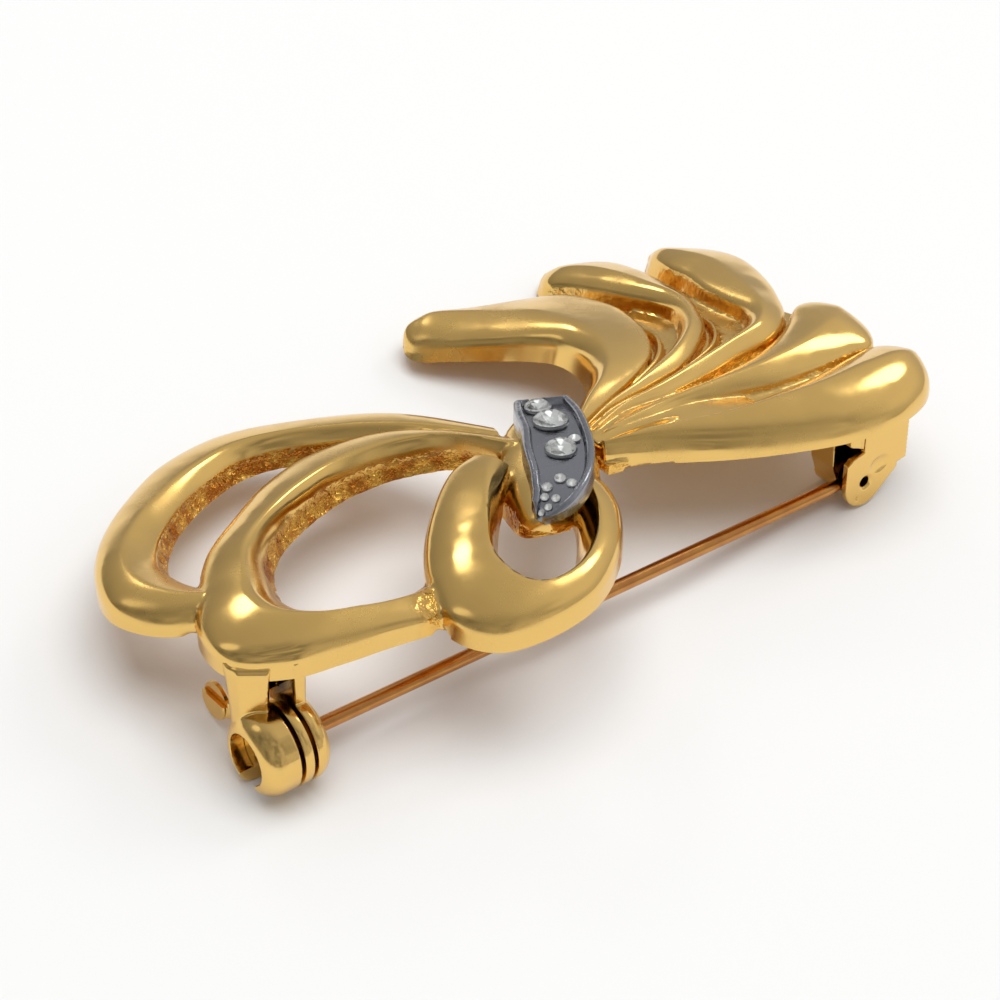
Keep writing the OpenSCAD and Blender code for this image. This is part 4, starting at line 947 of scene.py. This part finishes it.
class BROOCH_OT_hinge(bpy.types.Operator):
    """Builds the hinge's two cast ears with their web, hollows and step, and the rivet through them"""
    bl_idname = "brooch.hinge"
    bl_label = "Hinge"

    def execute(self, context):
        h = settings().hinge
        x, y, z = RIVET_PLACE
        radius = h.ear_radius
        near_face, near_back = y - h.slot / 2 - h.near_ear, y - h.slot / 2
        far_face, far_back = y + h.slot / 2, y + h.slot / 2 + h.far_ear
        right = x - radius + h.length
        stepped = right - h.step
        round_from, round_to = 180, 315
        near = slab("near_ear", [
            (x - 0.3 * MM, EAR_ROOT), (x - 0.3 * MM, z + 2.6 * MM), (x - 0.75 * radius, z + 2.35 * MM),
            (x - radius, z + 2.0 * MM), *arc(x, z, radius, round_from, round_to, 16), (stepped, z + 0.1 * MM),
            (stepped, z + 0.45 * MM), (right, z + 0.6 * MM), (right, EAR_ROOT)],
            near_face, near_back + 0.05 * MM)
        web = slab("web", [
            (x - 0.8 * radius, EAR_ROOT), (x - 0.8 * radius, z + 3.3 * MM), (x - 0.2 * radius, z + 2.75 * MM),
            (right - 0.4 * MM, z + 1.6 * MM), (right - 0.2 * MM, EAR_ROOT)],
            near_back - 0.2 * MM, far_face + 0.2 * MM)
        far = slab("far_ear", [
            (x - 1.05 * radius, EAR_ROOT), (x - radius, z + 1.2 * MM),
            *arc(x, z, far_ear_radius(far_back), round_from, round_to, 12), (stepped, z + 0.1 * MM),
            (right, z + 0.45 * MM), (right, EAR_ROOT)], far_face, far_back)
        body = fuse(near, web, far)
        # The rivet's bore and its head's seat, a punched dimple, and the oval hollow in the near ear
        bore = turned("bore", rod(h.rivet / 2, 6 * MM), 32, across_at(x, near_face - 0.5 * MM, z))
        seat = turned("seat", [(0, 0), (0.6 * MM, 0), (0.52 * MM, 0.1 * MM), (0, 0.12 * MM)], 32,
                      across_at(x, near_face - 0.02 * MM, z))
        dimple = turned("dimple", [(0, -0.1 * MM), (0.16 * MM, 0), (0.12 * MM, 0.09 * MM), (0, 0.12 * MM)],
                        16, across_at(x - 0.72 * MM, near_face, z - 1.1 * MM))
        oval = Matrix.Diagonal((1.0, 0.75, 1.0, 1.0))
        hollow = turned("hollow", [
            (0, -0.3 * MM), (1.1 * MM, -0.3 * MM), (0.95 * MM, 0.02 * MM), (0.55 * MM, 0.12 * MM),
            (0, 0.16 * MM)], 32, across_at(x + 1.25 * MM, near_face, z + 1.05 * MM) @ oval)
        fuse(body, bore, seat, dimple, hollow, operation="DIFFERENCE")
        melt(body, EAR_VOXEL)
        finish_body(body, "hinge_ears", finish(bright_gold_findings), 60, "bow", "gold_casting")
        # The head's radii are a thousand times too small, a known fault: the shaft tapers to a point under it
        head = [(0, -0.12), (0.18, -0.11), (0.34, -0.07), (0.45, 0.0), (0.47, 0.06), (0.4, 0.1), (0.38, 0.2)]
        shaft = far_back - near_face
        rivet = turned("rivet", [(r * MM * h.rivet / 0.8, d * MM) for r, d in head]
                       + [(0.38 * MM, shaft - 0.03 * MM), (0, shaft)], 40, across_at(x, near_face, z),
                       [finish(bright_gold_findings)])
        finish_piece(rivet, 60, "bow", "gold_findings", "hinge_rivet")
        return {"FINISHED"}


def far_ear_radius(far_back):
    """Radius of the far ear round the rivet, which stops at the floor"""
    foot = AT_REST @ Vector((RIVET_PLACE.x, far_back, RIVET_PLACE.z))
    return foot.z / math.cos(HINGE_TILT) - 0.02 * MM


class BROOCH_OT_catch(bpy.types.Operator):
    """Builds the catch's cast housing: broad post, round bulb, window, thin post and ring"""
    bl_idname = "brooch.catch"
    bl_label = "Catch housing"

    def execute(self, context):
        c = settings().catch
        x, y, z = BARREL_PLACE
        radius = c.barrel / 2
        window_left, window_right = x - c.window / 2, x + c.window / 2
        left, right = window_left - c.bulb, window_right + c.ring
        bulge = radius / 2
        bulb = turned("bulb", [
            (0, 0), *((radius - bulge * (1 - math.sin(a)), bulge * (1 - math.cos(a)))
                      for a in (math.pi / 2 * k / 10 for k in range(11))),
            (radius, c.bulb), (0, c.bulb)], 64, along_at(left, y, z))
        ring = turned("ring", [
            (0, 0), (radius, 0), (radius, 0.35 * c.ring), (radius - 0.1 * c.ring, 0.62 * c.ring),
            (radius - 0.3 * c.ring, 0.87 * c.ring), (radius - 0.55 * c.ring, c.ring), (0, c.ring)],
            64, along_at(window_right, y, z))
        near, far = y - c.post / 6, y - c.post / 6 + c.post
        post = column("post", (left + 0.4 * MM, window_left), (near + 0.45 * MM, far), z, 0.85 * MM, 0.2 * MM)
        thin = column("thin_post", (window_right, window_right + c.thin_post), (near, far), z,
                      0.15 * MM, 0.2 * MM)
        web = column("web", (window_left - 0.3 * MM, window_right + 0.3 * MM), (near + 0.6 * c.post, far),
                     -1.85 * MM, 0.1 * MM, 0.1 * MM)
        body = fuse(bulb, ring, post, thin, web)
        bore = turned("bore", rod(radius - c.wall, 8 * MM), 64, along_at(left - MM, y, z))
        gap = slab("gap", box_outline(left - MM, right + MM, z - 4 * MM, z), y - c.gap / 2, y + c.gap / 2)
        fuse(body, bore, gap, operation="DIFFERENCE")
        melt(body, HOUSING_VOXEL)
        finish_body(body, "catch_housing", finish(bright_gold_findings), 60, "bow", "gold_casting")
        return {"FINISHED"}


def loop_edge():
    """A point of the near loop's outline above the catch, and the way out from it"""
    b = settings().bow
    (x1, y1), (x2, y2) = ((row[0] * b.reach, row[1] * b.rise) for row in RIBBONS["near_loop"][9:11])
    long = math.hypot(x2 - x1, y2 - y1)
    return x1, y1, (y2 - y1) / long, (x1 - x2) / long


def column(name, along, across, low, corner, flare):
    """A post from the barrel up to the bow, between two places along and two across: its corners are rounded,
    it flares towards the bow, and its top tenth runs over onto the loop's wall"""
    edge_x, edge_y, way_x, way_y = loop_edge()
    (left, right), (near, far) = along, across
    # A post with sharp corners flares less along the pin
    along_share = 1.0 if corner > 0.3 * MM else 0.3
    flare_from, flare_power, lean_over = 0.3, 1.6, 0.1
    levels, corner_steps = 30, 8
    rings = []
    for k in range(levels + 1):
        t = k / levels
        grow = flare * max(0.0, (t - flare_from) / (1 - flare_from)) ** flare_power
        half_x, half_y = (right - left) / 2 + along_share * grow, (far - near) / 2 + grow
        r = min(corner, 0.95 * half_x)
        lean = max(0.0, min(1.0, (t - (1 - lean_over)) / lean_over))
        # How far outside the loop's edge the post may stand: 0.5 mm, and over its top tenth a round inwards
        room = (0.5 - 0.55 * (1 - math.sqrt(1 - lean * lean))) * MM
        ring = []
        for turn, (sx, sy) in enumerate(((1, 1), (-1, 1), (-1, -1), (1, -1))):
            for j in range(corner_steps + 1):
                a = math.pi / 2 * (turn + j / corner_steps)
                px = (left + right) / 2 + sx * (half_x - r) + r * math.cos(a)
                py = (near + far) / 2 + sy * (half_y - r) + r * math.sin(a)
                beyond = max(0.0, (px - edge_x) * way_x + (py - edge_y) * way_y - room)
                ring.append((px - beyond * way_x, py - beyond * way_y, low + (POST_ROOT - low) * t))
        rings.append(ring)
    return mesh_object(name, *loft(rings))


class BROOCH_OT_roller(bpy.types.Operator):
    """Builds the catch's roller: a slotted sleeve with its flange and the thumb tab on its bent neck"""
    bl_idname = "brooch.roller"
    bl_label = "Catch roller"

    def execute(self, context):
        c, h = settings().catch, settings().hinge
        x, y, z = BARREL_PLACE
        radius = c.barrel / 2
        left = x - c.window / 2 - c.bulb
        length = c.window + c.ring + c.bulb
        bore = h.wire / 2 + PIN_GAP
        # The sleeve ends short of the barrel at both ends
        tube = turned("sleeve", rod(radius - c.wall - RUN_GAP, length - 0.6 * MM, 1.1 * MM), 64,
                      along_at(left, y, z))
        flange = turned("flange", disc(radius, c.flange, 0.1 * MM, 0.03 * MM, 0.03 * MM), 96,
                        along_at(x - c.flange / 2, y, z))
        # The neck leaves the flange, bends aside by the shift and ends as wide as the tab
        shift, thick = 1.1 * MM, 0.6 * MM
        path = [(radius - 0.4 * MM, 0.0), (radius + 0.3 * MM, 0.0), (radius + 0.8 * MM, -0.2 * MM),
                (c.tab_reach - 0.45 * c.tab, -shift + 0.12 * MM), (c.tab_reach - 0.3 * c.tab, -shift),
                (c.tab_reach, -shift)]
        outline = ((-1, -0.85), (-0.8, -1), (0.8, -1), (1, -0.85), (1, 0.85), (0.8, 1), (-0.8, 1), (-1, 0.85))
        neck = mesh_object("neck", *loft([
            [(x + aside + s * thick / 2, y + out, z + t * (c.tab / 2) / 2) for s, t in outline]
            for out, aside in path]))
        tab = turned("tab", disc(c.tab / 2, thick, 0.09 * MM), 64,
                     along_at(x - shift - thick / 2, y + c.tab_reach, z))
        body = fuse(tube, flange, neck, tab)
        # The pin's bore and the slot that it leaves by, and the flat on the tab's face
        hole = turned("bore", rod(bore, length + MM), 48, along_at(left - 0.5 * MM, y, z))
        slot = slab("slot", box_outline(left - MM, left + length + MM, z - 4 * MM, z), y - bore, y + bore)
        flat_outline = box_outline(x - shift - thick, x - shift - 0.05 * thick, z + 0.1 * c.tab, z + c.tab)
        flat = slab("bend", flat_outline, y + c.tab_reach - c.tab, y + c.tab_reach + c.tab)
        fuse(body, hole, slot, flat, operation="DIFFERENCE")
        finish_body(body, "roller", finish(bright_gold_findings), 35, "roller", "gold_findings",
                    "catch_roller")
        return {"FINISHED"}


class BROOCH_OT_pin(bpy.types.Operator):
    """Draws the pin: its flattened eye, the tapered neck, the wire and the long ground point"""
    bl_idname = "brooch.pin"
    bl_label = "Pin"

    def execute(self, context):
        h, c = settings().hinge, settings().catch
        start = Vector(RIVET_PLACE)
        way = Vector(BARREL_PLACE) - start
        place = Matrix.Translation(start) @ way.to_track_quat("Z", "Y").to_matrix().to_4x4()
        thick = h.slot - 2 * EYE_GAP
        neck_end = 3 * MM
        point = way.length - c.window / 2 - c.ring - 0.4 * MM
        tip = way.length + c.window / 2 + c.bulb - 0.8 * MM
        r = h.wire / 2
        profile = [(0, 0.0), (0.32 * thick, 0.0), (0.42 * thick, 1.2 * MM), (0.49 * thick, 2.1 * MM),
                   (0.97 * r, 2.6 * MM), (r, neck_end)]
        profile += [(r, neck_end + (point - neck_end) * k / 40) for k in range(1, 41)]
        profile += [(r * (1 - 0.82 * t ** 1.3), point + (tip - point) * t)
                    for t in (0.15, 0.3, 0.45, 0.6, 0.75, 0.9, 1.0)]
        wire = turned("wire", profile + [(0, tip + 0.02 * MM)], 32, place)
        eye = turned("eye", disc(h.eye, thick, 0.12 * MM, 0.03 * MM, 0.04 * MM), 48,
                     across_at(start.x, start.y - thick / 2, start.z))
        body = fuse(wire, eye)
        hole = turned("hole", rod(h.rivet / 2 + RUN_GAP, 3 * MM), 32,
                      across_at(start.x, start.y - 1.5 * MM, start.z))
        fuse(body, hole, operation="DIFFERENCE")
        finish_body(body, "pin", finish(worn_plated_wire), 40, "pin", "gold_wire", "pin_stem")
        return {"FINISHED"}


def sky_ramp(tree, place, stops):
    """Brightness of the room by the value looked at, as (value, brightness) pairs, a little blue"""
    ramp = add_node(tree, "ShaderNodeValToRGB", {"Fac": place})
    elements = ramp.color_ramp.elements
    while len(elements) < len(stops):
        elements.new(0.5)
    for element, (position, value) in zip(elements, stops):
        element.position = position
        element.color = (value, value, value * SKY_BLUE, 1)
    return ramp.outputs["Color"]


def area_light(name, place, size, power):
    """An oval light that faces the brooch"""
    data = bpy.data.lights.new(name, "AREA")
    data.shape = "ELLIPSE"
    data.size, data.size_y = size
    data.energy = power * settings().stage.key
    light = bpy.data.objects.new(name, data)
    light.location = place
    light.rotation_euler = (-Vector(place)).to_track_quat("-Z", "Y").to_euler()
    bpy.context.scene.collection.objects.link(light)
    return light


class BROOCH_OT_stage(bpy.types.Operator):
    """Sets up the pale floor, the soft light and the camera"""
    bl_idname = "brooch.stage"
    bl_label = "Stage"

    def execute(self, context):
        scene = context.scene
        mesh = bpy.data.meshes.new("studio_floor")
        reach = 0.6
        mesh.from_pydata([(-reach, -reach, 0), (reach, -reach, 0), (reach, reach, 0), (-reach, reach, 0)],
                         [], [(0, 1, 2, 3)])
        floor = bpy.data.objects.new("studio_floor", mesh)
        scene.collection.objects.link(floor)
        mesh.materials.append(finish(pale_paper_floor))

        # Camera: the photograph's, given in the level bow's frame
        look = Vector((0.50430, 0.64550, -0.57358))
        right = Vector((0.78801, -0.61566, 0.0))
        pose = Matrix((right, right.cross(look), -look)).transposed().to_4x4()
        pose.translation = Vector((-2.5, 1.805, 0)) * MM - look * settings().stage.distance
        camera = bpy.data.objects.new("camera", bpy.data.cameras.new("camera"))
        camera.data.lens = settings().stage.lens
        camera.data.sensor_width = 36
        camera.data.clip_start, camera.data.clip_end = 0.005, 5
        camera.matrix_world = AT_REST @ pose
        scene.collection.objects.link(camera)
        scene.camera = camera

        # Room: an even grey, lighter to the right and darker with broken patches on the camera's side
        world = bpy.data.worlds.new("studio")
        scene.world = world
        world.use_nodes = True
        tree = world.node_tree
        tree.nodes.clear()
        way = add_node(tree, "ShaderNodeTexCoord").outputs["Generated"]
        height = add_node(tree, "ShaderNodeSeparateXYZ", {"Vector": way}).outputs["Z"]
        near, side = (add_node(tree, "ShaderNodeVectorMath", {0: way, 1: towards},
                               operation="DOT_PRODUCT").outputs["Value"]
                      for towards in ((-0.62, -0.78, 0.0), (0.85, -0.53, 0.0)))
        broken = add_node(tree, "ShaderNodeTexNoise", {
            "Vector": way, "Scale": 2.6, "Detail": 2.5, "Distortion": 0.8}).outputs["Fac"]
        sky = blend(tree, spread(tree, near, -0.1, 0.25), sky_ramp(tree, height, FAR_SKY),
                    sky_ramp(tree, broken, NEAR_SKY))
        background = add_node(tree, "ShaderNodeBackground", {
            "Color": sky, "Strength": spread(tree, side, -0.8, 0.9, 0.72, 1.5)})
        add_node(tree, "ShaderNodeOutputWorld", {"Surface": background.outputs["Background"]})

        # The windows, and a fill for the floor that the gold doesn't mirror
        for name, (place, size, power) in WINDOWS.items():
            area_light(name, place, size, power)
        area_light("overhead_fill", (0.0, 0.0, 0.5), (0.5, 0.5), 1.75).visible_glossy = False
        scene.view_settings.view_transform = "Standard"
        return {"FINISHED"}


class BROOCH_PT_panel(bpy.types.Panel):
    """Lists the brooch's sizes and its operators"""
    bl_idname = "BROOCH_PT_panel"
    bl_label = "Bow brooch"
    bl_space_type = "VIEW_3D"
    bl_region_type = "UI"
    bl_category = "Brooch"

    def draw(self, context):
        values = settings()
        for part in values.__annotations__:
            group = getattr(values, part)
            box = self.layout.box()
            for name in group.__annotations__:
                box.prop(group, name)
        for operator in OPERATORS:
            self.layout.operator(operator.bl_idname)


def group_prop(name, group):
    return bpy.props.PointerProperty(type=group, name=name, description=group.__doc__)


class BroochSettings(bpy.types.PropertyGroup):
    """Everything that a user would change"""
    bow: group_prop("Bow", BowSizes)
    knot: group_prop("Knot", KnotSizes)
    hinge: group_prop("Hinge and pin", HingeSizes)
    catch: group_prop("Catch", CatchSizes)
    colours: group_prop("Colours", FinishColours)
    stage: group_prop("Stage", StageSizes)


GROUPS = (BowSizes, KnotSizes, HingeSizes, CatchSizes, FinishColours, StageSizes, BroochSettings)
OPERATORS = (BROOCH_OT_ribbons, BROOCH_OT_setting, BROOCH_OT_stones, BROOCH_OT_hinge, BROOCH_OT_catch,
             BROOCH_OT_roller, BROOCH_OT_pin, BROOCH_OT_stage)


def register():
    for item in (*GROUPS, *OPERATORS, BROOCH_PT_panel):
        bpy.utils.register_class(item)
    bpy.types.Scene.brooch = bpy.props.PointerProperty(type=BroochSettings)


def unregister():
    del bpy.types.Scene.brooch
    for item in reversed((*GROUPS, *OPERATORS, BROOCH_PT_panel)):
        bpy.utils.unregister_class(item)


def main():
    register()
    bpy.ops.brooch.ribbons()
    bpy.ops.brooch.setting()
    bpy.ops.brooch.stones()
    bpy.ops.brooch.hinge()
    bpy.ops.brooch.catch()
    bpy.ops.brooch.roller()
    bpy.ops.brooch.pin()
    bpy.ops.brooch.stage()


if __name__ == "__main__":
    main()
